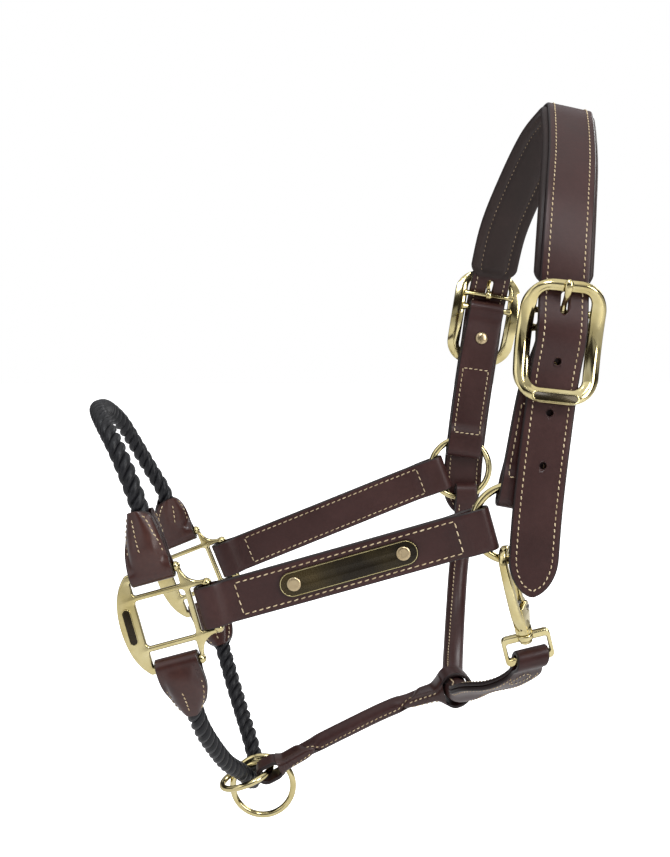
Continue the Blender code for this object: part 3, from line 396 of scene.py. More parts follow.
def band(name, path, lo, hi, ply, width, mat, roll=lambda s: 0.0, radius=lambda s: 5.0, step=2.6, m=10, turn=0.0):
    """The folded strap of the frame at fine detail. Returns the object and a function for points on its faces."""
    flat = (ply + 0.3) / 2

    def height(s):
        h = flat
        for pos, kind, r, long, taper, sgn in ((*lo, 1), (*hi, -1)):
            if kind == 'loop':
                H = r + ply / 2
                d = (s - pos) * sgn
                k = 1 - ss((d - H - long) / taper)
                h = max(h, flat + (H - flat) * k)
        return h
    s0 = lo[0] + (lo[2] + ply / 2)
    s1 = hi[0] - (hi[2] + ply / 2)
    n = max(2, int(round((s1 - s0) / step)))
    grid = [s0 + (s1 - s0) * i / n for i in range(n + 1)]
    line = [(s, height(s), 0.0, 1.0, 1) for s in grid]
    H = hi[2] + ply / 2
    for j in range(1, 12):
        a = math.pi / 2 - math.pi * j / 12
        line.append((s1 + H * math.cos(a), H * math.sin(a), math.cos(a), math.sin(a), 0))
    line += [(s, -height(s), 0.0, -1.0, -1) for s in reversed(grid)]
    H = lo[2] + ply / 2
    for j in range(1, 12):
        a = math.pi / 2 - math.pi * j / 12
        line.append((s0 - H * math.cos(a), -H * math.sin(a), -math.cos(a), -math.sin(a), 0))
    secs, edge = [], []
    for s, nn, ns, nz, side in line:
        k = roll(s) if side else 0.0
        R = radius(s)
        hw = width(s) / 2
        pts = []
        for dw, dn, e in rim(hw, ply / 2, m, 0.95 * (1 - 0.72 * k)):
            e = e * (1 - 0.75 * k)
            wob = 0.11 * noise.noise(Vector((s * 0.07, dw * 0.09, side * 7.0 + len(name)))) if e == 0 and k < 0.02 else 0.0
            fs, fn, fw = s + ns * (dn + wob), nn + nz * (dn + wob), dw
            if k > 0:
                rr = R - ply / 2 + dn
                a = dw / hw * math.pi / 2
                fn = fn * (1 - k) + side * (0.03 + rr * math.cos(a)) * k
                fw = fw * (1 - k) + rr * math.sin(a) * k
                fw, fn = fw * math.cos(turn * k) + fn * math.sin(turn * k), fn * math.cos(turn * k) - fw * math.sin(turn * k)
            pts.append(path.at(fs, fn, fw))
            edge.append(e)
        secs.append(pts)
    o = loft(name, secs, mat, closed=True, smooth=55, edge=edge)

    def face(s, side, w):
        """A point on the outer face of one side, w mm from the middle (or along the girth where rolled), and its normal."""
        t, wv, nv = path.frame(s)
        k = roll(s)
        fn, fw = side * (height(s) + ply / 2), w
        nrm = nv * side
        if k > 0:
            a = w / (width(s) / 2) * math.pi / 2
            R = radius(s)
            fn = fn * (1 - k) + side * (0.03 + R * math.cos(a)) * k
            fw = fw * (1 - k) + R * math.sin(a) * k
            cw, cn = k * math.sin(a), side * ((1 - k) + k * math.cos(a))
            ct, st_ = math.cos(turn * k), math.sin(turn * k)
            fw, fn = fw * ct + fn * st_, fn * ct - fw * st_
            cw, cn = cw * ct + cn * st_, cn * ct - cw * st_
            nrm = (nv * cn + wv * cw).normalized()
        return path.point(s) + wv * fw + nv * fn, nrm
    return o, face


def stitch(bag, line, pitch=4.2, on=0.74, r=0.36, lift=0.08, sides=6):
    """Thread stitches along a line of (point, normal): each one a short bar that dives in at both ends."""
    cum = [0.0]
    for (a, _), (b, _) in zip(line, line[1:]):
        cum.append(cum[-1] + (b - a).length)
    total = cum[-1]
    count = max(1, int(total / pitch + 0.3))
    pitch = total / count

    def where(s):
        s = min(max(s, 0.0), total)
        i = 0
        lo, hi = 0, len(cum) - 1
        while hi - lo > 1:
            mid = (lo + hi) // 2
            if cum[mid] <= s:
                lo = mid
            else:
                hi = mid
        f = (s - cum[lo]) / max(1e-9, cum[lo + 1] - cum[lo])
        p = line[lo][0].lerp(line[lo + 1][0], f)
        nrm = line[lo][1].lerp(line[lo + 1][1], f).normalized()
        t = (line[lo + 1][0] - line[lo][0]).normalized()
        return p, nrm, t
    for i in range(count):
        a = i * pitch + pitch * (1 - on) / 2
        b = a + pitch * on
        secs = []
        for j in range(7):
            u = j / 6
            p, nrm, t = where(a + (b - a) * u)
            lat = nrm.cross(t).normalized()
            rise = lift + 0.16 - 0.62 * abs(2 * u - 1) ** 4
            rad = r * (1.0 - 0.45 * abs(2 * u - 1) ** 3)
            c = p + nrm * rise + lat * (0.16 * (2 * u - 1))
            secs.append([c + (lat * math.cos(2 * math.pi * q / sides) + nrm * math.sin(2 * math.pi * q / sides) * 0.8) * rad for q in range(sides)])
        bag.add(*skin(secs))


def run(face, s0, s1, side, w, n=None):
    n = n or max(2, int(abs(s1 - s0) / 2.0))
    f = w if callable(w) else (lambda s: w)
    return [face(s0 + (s1 - s0) * i / n, side, f(s0 + (s1 - s0) * i / n)) for i in range(n + 1)]


def across(face, s, side, w0, w1, n=8):
    return [face(s, side, w0 + (w1 - w0) * i / n) for i in range(n + 1)]


def box_stitch(bag, face, s0, s1, side, w, pitch=4.2):
    for ln in (run(face, s0, s1, side, w), across(face, s1, side, w, -w), run(face, s1, s0, side, -w), across(face, s0, side, -w, w)):
        stitch(bag, ln, pitch)


def axes(n, u):
    n = Vector(n).normalized()
    u = Vector(u)
    u = (u - n * u.dot(n)).normalized()
    return u, n.cross(u), n


def torus(name, c, n, u, R, r, mat, seg=96, sides=20):
    u, v, n = axes(n, u)
    sec = []
    for i in range(seg):
        a = 2 * math.pi * i / seg
        d = u * math.cos(a) + v * math.sin(a)
        sec.append([Vector(c) + d * (R + r * math.cos(2 * math.pi * j / sides)) + n * (r * math.sin(2 * math.pi * j / sides)) for j in range(sides)])
    return loft(name, sec, mat, closed=True, smooth=80)


def turned_parts(c, ax, u, profile, sides=40):
    u, v, n = axes(ax, u)
    return skin([[Vector(c) + n * h + (u * math.cos(2 * math.pi * j / sides) + v * math.sin(2 * math.pi * j / sides)) * max(r, 0.02)
                  for j in range(sides)] for h, r in profile])


def turned(name, c, ax, u, profile, mat, sides=40, smooth=35):
    v, f = turned_parts(c, ax, u, profile, sides)
    return solid(name, v, f, mat, smooth)


def ball(c, r, seg=16):
    return turned_parts(c, (0, -1, 0), (1, 0, 0), [(-r * math.cos(math.pi * i / seg), r * math.sin(math.pi * i / seg)) for i in range(seg + 1)], 20)


def plate_parts(fr, outline, holes, z0, z1, r, steps=4, bow=None):
    """A plate with rounded edges round its outline and its holes."""
    c, a, b, n = fr
    loops = []
    for li, lp in enumerate([outline] + holes):
        area = sum(lp[i][0] * lp[(i + 1) % len(lp)][1] - lp[(i + 1) % len(lp)][0] * lp[i][1] for i in range(len(lp)))
        if (area > 0) != (li == 0):
            lp = list(reversed(lp))
        q = [Vector((x, y)) for x, y in lp]
        nr = []
        for i in range(len(q)):
            e0 = (q[i] - q[i - 1]).normalized()
            e1 = (q[(i + 1) % len(q)] - q[i]).normalized()
            n0, n1 = Vector((-e0.y, e0.x)), Vector((-e1.y, e1.x))
            s = (n0 + n1)
            s = s / max(0.5, s.dot(n0)) if s.length > 1e-6 else n0
            nr.append(s)
        loops.append((q, nr))
    rows = []
    for t in range(steps + 1):
        g = math.pi / 2 * t / steps
        rows.append((r * (1 - math.sin(g)), z1 - r * (1 - math.cos(g))))
    for t in range(steps, -1, -1):
        g = math.pi / 2 * t / steps
        rows.append((r * (1 - math.sin(g)), z0 + r * (1 - math.cos(g))))
    verts, faces, start = [], [], []
    for q, nr in loops:
        start.append(len(verts))
        for d, z in rows:
            for p, m in zip(q, nr):
                x, y = p + m * d
                verts.append(c + a * x + b * y + n * (z + (bow(x, y) if bow else 0.0)))
        k = len(q)
        for i in range(len(rows) - 1):
            for j in range(k):
                jj = (j + 1) % k
                s = start[-1]
                faces.append((s + i * k + j, s + (i + 1) * k + j, s + (i + 1) * k + jj, s + i * k + jj))
    flat, idx_top, idx_bot = [], [], []
    polys = []
    for (q, nr), s in zip(loops, start):
        polys.append([Vector((*(p + m * r), 0)) for p, m in zip(q, nr)])
        idx_top += [s + j for j in range(len(q))]
        idx_bot += [s + (len(rows) - 1) * len(q) + j for j in range(len(q))]
        flat += polys[-1]
    for t in tessellate_polygon(polys):
        A, B, C = (flat[i] for i in t)
        up = (B - A).cross(C - A).z > 0
        t = tuple(t) if up else tuple(reversed(t))
        faces.append(tuple(idx_top[i] for i in t))
        faces.append(tuple(idx_bot[i] for i in reversed(t)))
    return verts, facing_out(verts, faces)


def bag_of(*parts):
    b = Bag()
    for v, f in parts:
        b.add(v, f)
    return b


def take(o, body, slot, *nodes):
    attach(o, body)
    if nodes:
        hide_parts(*nodes)
    return o


def stadium(L2, r, seg=14):
    pts = []
    for cx, d0 in ((L2, -90), (-L2, 90)):
        for j in range(seg + 1):
            a = math.radians(d0 + 180 * j / seg)
            pts.append((cx + r * math.cos(a), r * math.sin(a)))
    return pts


def circle(x, y, r, k=24):
    return [(x + r * math.cos(2 * math.pi * j / k), y + r * math.sin(2 * math.pi * j / k)) for j in range(k)]


# ================================================================ camera, floor and light
cam = bpy.data.cameras.new("camera")
cam.lens, cam.sensor_width, cam.sensor_fit = 47.2, 36.0, 'AUTO'
cam.clip_start, cam.clip_end = 0.01, 50
cam_o = bpy.data.objects.new("camera", cam)
cam_o.location = (-0.163, -0.735, -0.136)
y1, p1 = math.radians(1.0), math.radians(4.75)
F = Vector((math.sin(y1) * math.cos(p1), math.cos(y1) * math.cos(p1), -math.sin(p1)))
cam_o.rotation_mode = 'QUATERNION'
cam_o.rotation_quaternion = F.to_track_quat('-Z', 'Y')
bpy.context.scene.collection.objects.link(cam_o)
bpy.context.scene.camera = cam_o

fm, fnt, fb = new_mat("floor_pale")
fco = fnt.nodes.new("ShaderNodeTexCoord").outputs["Object"]
fn_ = tex(fnt, "ShaderNodeTexNoise", 3.0, fco, Detail=2.0)
fnt.links.new(ramp(fnt, [(0.3, (0.80, 0.80, 0.80)), (0.7, (0.84, 0.84, 0.84))], fn_.outputs["Fac"]).outputs[0], fb.inputs["Base Color"])
fb.inputs["Roughness"].default_value = 0.9
fb.inputs["Specular IOR Level"].default_value = 0.1
fb.inputs["Emission Color"].default_value = (1, 1, 1, 1)
fnt.links.new(fnt.nodes.new("ShaderNodeLightPath").outputs["Is Camera Ray"], fb.inputs["Emission Strength"])
FL = -560.0
floor = solid("floor", [Vector(p) for p in ((-9000, -9000, FL), (9000, -9000, FL), (9000, 9000, FL), (-9000, 9000, FL))], [(0, 1, 2, 3)], fm, None)


def area(name, loc, target, size, energy, colour=(1, 1, 1), size_y=None):
    l = bpy.data.lights.new(name, 'AREA')
    l.energy, l.color, l.size = energy, colour, size
    if size_y:
        l.shape, l.size_y = 'RECTANGLE', size_y
    o = bpy.data.objects.new(name, l)
    o.location = loc
    o.rotation_mode = 'QUATERNION'
    o.rotation_quaternion = (Vector(target) - Vector(loc)).to_track_quat('-Z', 'Y')
    bpy.context.scene.collection.objects.link(o)


area("key_right", (0.85, -1.05, 0.35), (-0.12, 0, -0.2), 0.42, 12.0, (1.0, 0.99, 0.97), 1.0)
area("sheen_front", (0.02, -0.95, 0.92), (-0.03, -0.1, -0.06), 0.30, 7.5, (0.92, 0.96, 1.0), 0.5)
area("fill_left", (-1.35, -0.9, 0.30), (-0.15, 0, -0.22), 0.9, 4.5, (0.97, 0.98, 1.0), 1.4)
sun = bpy.data.lights.new("top_soft", 'SUN')
sun.energy, sun.angle = 0.95, 1.4
sun_o = bpy.data.objects.new("top_soft", sun)
sun_o.rotation_euler = (0.10, -0.08, 0)
bpy.context.scene.collection.objects.link(sun_o)
area("back_right", (0.9, 0.9, 0.5), (-0.1, 0, -0.2), 0.6, 6)
world = bpy.data.worlds.new("studio")
bpy.context.scene.world = world
world.use_nodes = True
wn = world.node_tree
bg = wn.nodes["Background"]
wco = wn.nodes.new("ShaderNodeTexCoord").outputs["Generated"]
sep = wn.nodes.new("ShaderNodeSeparateXYZ")
wn.links.new(wco, sep.inputs[0])
wz = math_node(wn, 'MULTIPLY_ADD', sep.outputs["Z"], 0.5)
wz.node.inputs[2].default_value = 0.5
wave = math_node(wn, 'SINE', math_node(wn, 'MULTIPLY', math_node(wn, 'ARCTAN2', sep.outputs["Y"], sep.outputs["X"]), 5.0), 0.0)
wz = math_node(wn, 'ADD', wz, math_node(wn, 'MULTIPLY', wave, 0.045))
wr = ramp(wn, [(q, tuple(0.66 * k for k in c)) for q, c in [(0.0, (0.6, 0.6, 0.6)), (0.36, (0.55, 0.55, 0.55)), (0.42, (0.04, 0.03, 0.025)), (0.48, (0.62, 0.62, 0.64)), (0.53, (0.55, 0.55, 0.56)), (0.57, (0.035, 0.03, 0.025)), (0.68, (0.06, 0.055, 0.05)), (0.75, (0.95, 0.96, 1.0)), (0.86, (0.7, 0.7, 0.7)), (1.0, (0.5, 0.5, 0.5))]], wz)
lp = wn.nodes.new("ShaderNodeLightPath")
wm = wn.nodes.new("ShaderNodeMix")
wm.data_type = 'RGBA'
wn.links.new(lp.outputs["Is Camera Ray"], wm.inputs[0])
wd = wn.nodes.new("ShaderNodeMix")
wd.data_type = 'RGBA'
wn.links.new(lp.outputs["Is Diffuse Ray"], wd.inputs[0])
wn.links.new(wr.outputs[0], wd.inputs[6])
wd.inputs[7].default_value = (0.43, 0.43, 0.44, 1)
wn.links.new(wd.outputs[2], wm.inputs[6])
wm.inputs[7].default_value = (1.0, 1.0, 1.0, 1)
wn.links.new(wm.outputs[2], bg.inputs["Color"])
bg.inputs["Strength"].default_value = 1.0
bpy.context.scene.view_settings.view_transform = 'Standard'
bpy.context.scene.view_settings.look = 'None'

# ================================================================ crown
crown = Path(CROWN_PTS, [(0.0, (0.985, 0, -0.12)), (0.35, (0.97, 0, -0.2)), (0.65, (0.97, 0, -0.2)), (1.0, (0.985, 0, -0.12))])
SB_N = crown.near((-26.0, -104.5, -140.0))
SB_F = crown.near((-37.6, 102.6, -124.0))
L = crown.length


def bow_over(s):
    n = -0.8
    for sb, sgn in ((SB_N, 1), (SB_F, -1)):
        d = (s - sb) * sgn - 5.0
        if abs(d) < 26:
            n += 4.9 * math.cos(math.pi / 2 * d / 26) ** 2
    return n


def tip_w(s):
    d = min(s, L - s)
    return CROWN_W if d > 23 else max(2.2, CROWN_W * max(0.0, 1 - ((23 - d) / 23) ** 2.1) ** 0.62)


def crown_face(s, side, w):
    t, wv, nv = crown.frame(s)
    return crown.point(s) + wv * w + nv * (bow_over(s) + side * CROWN_T / 2), nv * side


st = [0.25, 0.8, 1.6, 2.6, 4.0, 5.6, 7.5, 9.6, 12.0, 14.6, 17.4, 20.4, 23.4]
st = st + [23.4 + (L - 46.8) * i / 230 for i in range(1, 230)] + [L - x for x in reversed(st)]
secs, edge = [], []
for s in st:
    pts = []
    for dw, dn, e in rim(tip_w(s) / 2, CROWN_T / 2, 12, 1.15):
        wob = 0.10 * noise.noise(Vector((s * 0.05, dw * 0.08, 3.0))) if e == 0 else 0.0
        pts.append(crown.at(s, bow_over(s) + dn + wob, dw))
        edge.append(e)
    secs.append(pts)
strap = loft("crown_strap_leather", secs, LEATHER, smooth=55, edge=edge)
cut_v, cut_f = Bag(), None
for fr_s, sg in ((SB_N, 1), (SB_F, -1)):
    t, w, n = crown.frame(fr_s)
    v = t * sg
    k = len(cut_v.v)
    prof = [Vector((x, y)) for x, y in circle(0, 0, 2.4, 20)]
    cut_v.add(*skin([[crown.point(fr_s) + v * (22.0 + p.x + math.copysign(4.0, p.x)) + w * p.y + n * z for p in prof] for z in (-9, 12)]))
    for d in (-11.0, -40.0, -70.0):
        s = fr_s + sg * d
        t2, w2, n2 = crown.frame(s)
        c = crown.point(s) + n2 * bow_over(s)
        cut_v.add(*turned_parts(c, n2, w2, [(-5, 2.15), (5, 2.15)], 20))
tool = cut_v.make("hole_tool", LEATHER)
mod = strap.modifiers.new("holes", 'BOOLEAN')
mod.operation, mod.solver, mod.object = 'DIFFERENCE', 'EXACT', tool
bpy.context.view_layer.update()
dg = bpy.context.evaluated_depsgraph_get()
new_me = bpy.data.meshes.new_from_object(strap.evaluated_get(dg))
strap.modifiers.clear()
strap.data = new_me
bpy.data.objects.remove(tool)
take(strap, "root", "leather_havana", "crown_strap")
# punched-hole rims
for i, (fr_s, sg) in enumerate(((SB_N, 1), (SB_F, -1))):
    b = Bag()
    for d in (-11.0, -40.0, -70.0):
        s = fr_s + sg * d
        t2, w2, n2 = crown.frame(s)
        u_, v_, nn_ = axes(n2, w2)
        c = crown.point(s) + n2 * (bow_over(s) + CROWN_T / 2 - 0.02)
        b.add(*skin([[c + (u_ * math.cos(q) + v_ * math.sin(q)) * (2.35 + 0.28 * math.cos(2 * math.pi * j / 8)) + nn_ * (0.22 * math.sin(2 * math.pi * j / 8)) for j in range(8)]
                     for q in [2 * math.pi * k / 24 for k in range(24)]], closed=True))
    take(b.make(("near", "far")[i] + "_billet_hole_rims", LEATHER), "root", "leather_havana")
# crown stitching: both edges, right round both billet tips
bag = Bag()


def inset(s):
    d = min(s, L - s)
    w = tip_w(s) / 2
    k = ss((d - 4) / 16.0)
    return max(0.0, w - (4.0 + 0.3 * (1 - k)))


for side in (1, -1):
    segs = ((7.0, L - 7.0),) if side == 1 else ((7.0, SB_N + 31.0), (SB_F - 31.0, L - 7.0))
    for s0, s1 in segs:
        for sg in (1, -1):
            line = [crown_face(s0 + (s1 - s0) * i / 300, side, sg * inset(s0 + (s1 - s0) * i / 300)) for i in range(301)]
            if side == 1:
                line = [q for q, s in ((q, s0 + (s1 - s0) * i / 300) for i, q in enumerate(line))]
            stitch(bag, line, 3.45, 0.68, 0.36, 0.08)
for s_in, s_out in ((7.0, 3.6), (L - 7.0, L - 3.6)):
    for sg in (1, -1):
        ln = []
        for i in range(9):
            s = s_in + (s_out - s_in) * i / 8
            ln.append(crown_face(s, 1, sg * inset(s_in) * (1 - i / 8)))
        stitch(bag, ln, 3.45, 0.68, 0.36, 0.08)
take(bag.make("crown_strap_stitching", THREAD), "root", "leather_havana")

# padded lining
PAD0, PAD1 = SB_N + 31.5, SB_F - 31.5
LIN_TOP = -0.8 - CROWN_T / 2 - 0.12
secs, edge = [], []
NP = 170


def lining_under(s, w, hw, k):
    z0 = LIN_TOP - 1.55 - 3.3 * max(k, 0.16)
    a = abs(w)
    row = hw - 7.2
    dip = 1.15 * k * math.exp(-((a - row) / 1.25) ** 2)
    crest = -0.55 * k * math.cos(min(1.0, a / row) * math.pi / 2) ** 0.8 if a < row else -0.15 * k
    puck = 0.10 * math.sin(2 * math.pi * s / 3.45) * math.exp(-((a - row) / 1.1) ** 2)
    return z0 + dip + crest + puck + 0.12 * noise.noise(Vector((s * 0.06, w * 0.1, 11.0)))


for i in range(NP + 1):
    s = PAD0 + (PAD1 - PAD0) * i / NP
    e = min(s - PAD0, PAD1 - s)
    k = ss(e / 8.0)
    hw = (CROWN_W - 0.4 + (LINING_W - CROWN_W + 0.4) * k) / 2 * (0.8 + 0.2 * ss(e / 3.0))
    pts = []
    M = 30
    zb = [(-hw + 1.6 + (2 * hw - 3.2) * j / M) for j in range(M + 1)]
    for w in zb:
        pts.append(crown.at(s, lining_under(s, w, hw, k), w))
        edge.append(0.0)
    ze = lining_under(s, hw - 1.6, hw, k)
    zt = LIN_TOP + 0.25 * k
    for j in range(1, 8):
        a = -math.pi / 2 + math.pi * j / 8
        pts.append(crown.at(s, (zt + ze) / 2 + (zt - ze) / 2 * math.sin(a), hw - 1.6 + 1.6 * math.cos(a)))
        edge.append(0.25)
    for w in (hw - 1.6, hw * 0.5, 0, -hw * 0.5, -hw + 1.6):
        pts.append(crown.at(s, zt if abs(w) > CROWN_W / 2 else LIN_TOP, w))
        edge.append(0.0)
    for j in range(1, 8):
        a = math.pi / 2 - math.pi * j / 8
        pts.append(crown.at(s, (zt + ze) / 2 + (zt - ze) / 2 * math.sin(a), -(hw - 1.6 + 1.6 * math.cos(a))))
        edge.append(0.25)
    secs.append(pts)
pad = loft("crown_lining_padded", secs, LINING, smooth=60, edge=edge)
take(pad, "root", "leather_lining", "crown_lining", "crown_foam")
bag = Bag()
for sg in (1, -1):
    line = []
    for i in range(301):
        s = PAD0 + 4 + (PAD1 - PAD0 - 8) * i / 300
        e = min(s - PAD0, PAD1 - s)
        k = ss(e / 8.0)
        hw = (CROWN_W - 0.4 + (LINING_W - CROWN_W + 0.4) * k) / 2
        t, wv, nv = crown.frame(s)
        w = sg * (hw - 7.2)
        line.append((crown.point(s) + wv * w + nv * (lining_under(s, w, hw, k) + 0.05), nv * -1))
    stitch(bag, line, 3.45, 0.62, 0.34, 0.05)
take(bag.make("crown_lining_stitching", DIM), "root", "leather_lining")


# ================================================================ buckles
def rounded(hw, hh, r, seg=4, bulge=0.0, sides=0):
    pts = []
    for cx, cy, a0 in ((hw - r, hh - r, 0), (-hw + r, hh - r, 90), (-hw + r, -hh + r, 180), (hw - r, -hh + r, 270)):
        for j in range(seg + 1):
            a = math.radians(a0 + 90 * j / seg)
            pts.append((cx + r * math.cos(a), cy + r * math.sin(a)))
        x, ya = pts[-1]
        if a0 in (90, 270):
            for j in range(1, sides + 1):
                pts.append((x, ya * (1 - 2 * j / (sides + 1))))
        else:
            for j in range(1, sides + 1):
                pts.append((x * (1 - 2 * j / (sides + 1)), ya))
    return [(x + math.copysign(bulge * (1 - (y / hh) ** 2), x) if abs(x) > 0.5 else x, y) for x, y in pts]


def buckle(side, sb, sgn):
    t, w, n = crown.frame(sb)
    v, c = t * sgn, crown.point(sb)

    def rail(y):
        y = min(max(y, -30.5), 30.5)
        return -2.5 + 7.4 * (y / 30.5) ** 2
    outer = rounded(23.4, 34.8, 16.5, 12, 1.3, 14)
    inner = [(x, y + 1.0) for x, y in rounded(15.2, 27.0, 6.0, 12, 0.5, 14)]
    prof = [(0.02, -1.3), (0.0, -0.5), (0.0, 0.3), (0.05, 0.95), (0.16, 1.65), (0.32, 2.25), (0.46, 2.5), (0.60, 2.35), (0.74, 1.75),
            (0.86, 1.25), (0.94, 1.15), (0.99, 0.85), (1.0, 0.2), (1.0, -0.9), (0.95, -1.35), (0.6, -1.6), (0.2, -1.6)]
    secs = []
    for (x0, y0), (x1, y1) in zip(outer, inner):
        pts = []
        for p, z in prof:
            x, y = x0 + (x1 - x0) * p, y0 + (y1 - y0) * p
            pts.append(c + w * x + v * y + n * (rail(y) + z))
        secs.append(pts)
    b = bag_of(skin(secs, closed=True))
    for y, z, r in ((17.0, -2.9, 1.7), (7.0, -3.7, 2.0)):
        b.add(*turned_parts(c + v * y + n * z, w, v, [(-18.6, r * 0.7), (-17.5, r * 1.5), (-15.8, r * 1.3), (-14.2, r), (14.2, r), (15.8, r * 1.3), (17.5, r * 1.5), (18.6, r * 0.7)], 24))
    take(b.make(side + "_buckle_brass", BRASS, 60), "root", "polished_brass", side + "_buckle_frame")
    # blank cartouche on the lower bar
    cc = c + v * (-31.0) + n * (rail(-31) + 2.15)
    vt = (v * 1.0 + n * -0.30).normalized()
    nt_ = w.cross(vt) * (1 if w.cross(vt).dot(n) > 0 else -1)
    rimv = plate_parts((cc, w, vt, nt_), stadium(10.4, 3.0), [stadium(10.0, 2.35)], -0.6, 0.75, 0.25, 2)
    take(bag_of(rimv).make(side + "_buckle_cartouche_rim", BRASS, 60), "root", "polished_brass")
    take(bag_of(plate_parts((cc, w, vt, nt_), stadium(10.1, 2.45), [], -0.6, 0.45, 0.15, 2)).make(side + "_buckle_cartouche", PLATE, 60), "root", "plate_dark")
    # prong
    piv = c + v * 17.0 + n * (-2.9)
    body = side + "_prong"
    line = [(0.6, 2.9, 1.6, 1.0), (2.6, 3.2, 1.6, 1.15), (4.6, 4.2, 1.5, 1.3), (6.4, 6.1, 1.5, 1.35), (8.2, 8.3, 1.65, 1.4), (10.4, 10.2, 1.95, 1.45), (12.8, 11.3, 2.3, 1.45),
            (15.0, 11.55, 2.45, 1.35), (16.6, 11.35, 2.2, 1.1), (17.5, 11.1, 1.3, 0.7)]
    secs = []
    for i, (a, z, hw, ht) in enumerate(line):
        p0, p1_ = line[max(0, i - 1)], line[min(len(line) - 1, i + 1)]
        d = Vector((p1_[0] - p0[0], p1_[1] - p0[1])).normalized()
        tv = v * d.x + n * d.y
        nv = n * d.x - v * d.y
        cpt = piv + v * a + n * z
        secs.append([cpt + w * (hw * math.cos(2 * math.pi * j / 20)) + nv * (ht * math.sin(2 * math.pi * j / 20)) for j in range(20)])
    pb = bag_of(skin(secs))
    pb.add(*turned_parts(piv, w, v, [(-1.9, 2.05), (-1.9, 3.2), (-1.5, 3.6), (1.5, 3.6), (1.9, 3.2), (1.9, 2.05)], 28))
    take(pb.make(side + "_prong_brass", BRASS, 60), body, "polished_brass", side + "_buckle_prong")
    return c, v, w, n


B_N, B_F = buckle("near", SB_N, 1), buckle("far", SB_F, -1)
take(torus("near_cheek_ring_brass", RING_NEAR, (0, 1, 0), (1, 0, 0), 21.6, 2.32, BRASS), "near_ring", "polished_brass", "near_cheek_ring")
take(torus("far_cheek_ring_brass", RING_FAR, (0, 1, 0), (1, 0, 0), 21.6, 2.32, BRASS), "far_ring", "polished_brass", "far_cheek_ring")


# ================================================================ cheek straps
def cheek(side, fr, rc, lean):
    c, v, w, n = fr
    bar = c + v * 7.0 + n * (-3.7)
    mid = [c + v * (-2.0) + n * (-4.4) + w * lean[0], c + v * (-14.0) + n * (-6.2) + w * lean[1], c + v * (-27.0) + n * (-7.2) + w * lean[2]]
    end = rc + lean[3]
    near_end = end + (mid[-1] - end).normalized() * 24.0
    near_end.y = end.y
    p = Path([bar] + mid + [near_end, end], [(0, w), (1, (0.98, 0, -0.17))])
    hole_s = p.near(c + v * (-15.0) + n * (-6.3))
    o, face = band(side + "_cheek_strap_leather", p, (-2.5 - PLY / 2, 'loop', 2.5, 0.0, 9.0), (p.length, 'loop', 3.2, 9.5, 12.0), PLY, lambda s: CHEEK_W, LEATHER)
    take(o, "root", "leather_havana", side + "_cheek_strap")
    t, ww, nn = p.frame(hole_s)
    q = p.point(hole_s)
    h = PLY + 0.15
    take(turned(side + "_cheek_rivet_brass", q, nn, ww, [(-h - 2.0, 0.0), (-h - 1.95, 1.6), (-h - 1.75, 2.8), (-h - 1.35, 3.8), (-h - 0.9, 4.4), (-h - 0.5, 4.55), (-h - 0.15, 4.4),
                                                       (-h - 0.1, 1.4), (h + 0.05, 1.4), (h + 0.1, 3.0), (h + 0.45, 3.0), (h + 0.8, 2.6), (h + 0.95, 1.2), (h + 0.97, 0.0)], RIVET), "root", "polished_brass", side + "_cheek_rivet")
    bag = Bag()
    s0 = hole_s + 23.0
    s1 = p.length - 17.0
    for sd in (1, -1):
        box_stitch(bag, face, s0, s1, sd, 9.4, 3.7)
    take(bag.make(side + "_cheek_strap_stitching", THREAD), "root", "leather_havana")
    return p


cheek("near", B_N, RING_NEAR, (0.0, -2.5, -5.5, Vector((3.6, 0, 9.0))))
cheek("far", B_F, RING_FAR, (0.0, -0.6, -1.2, Vector((2.0, 0, 9.6))))


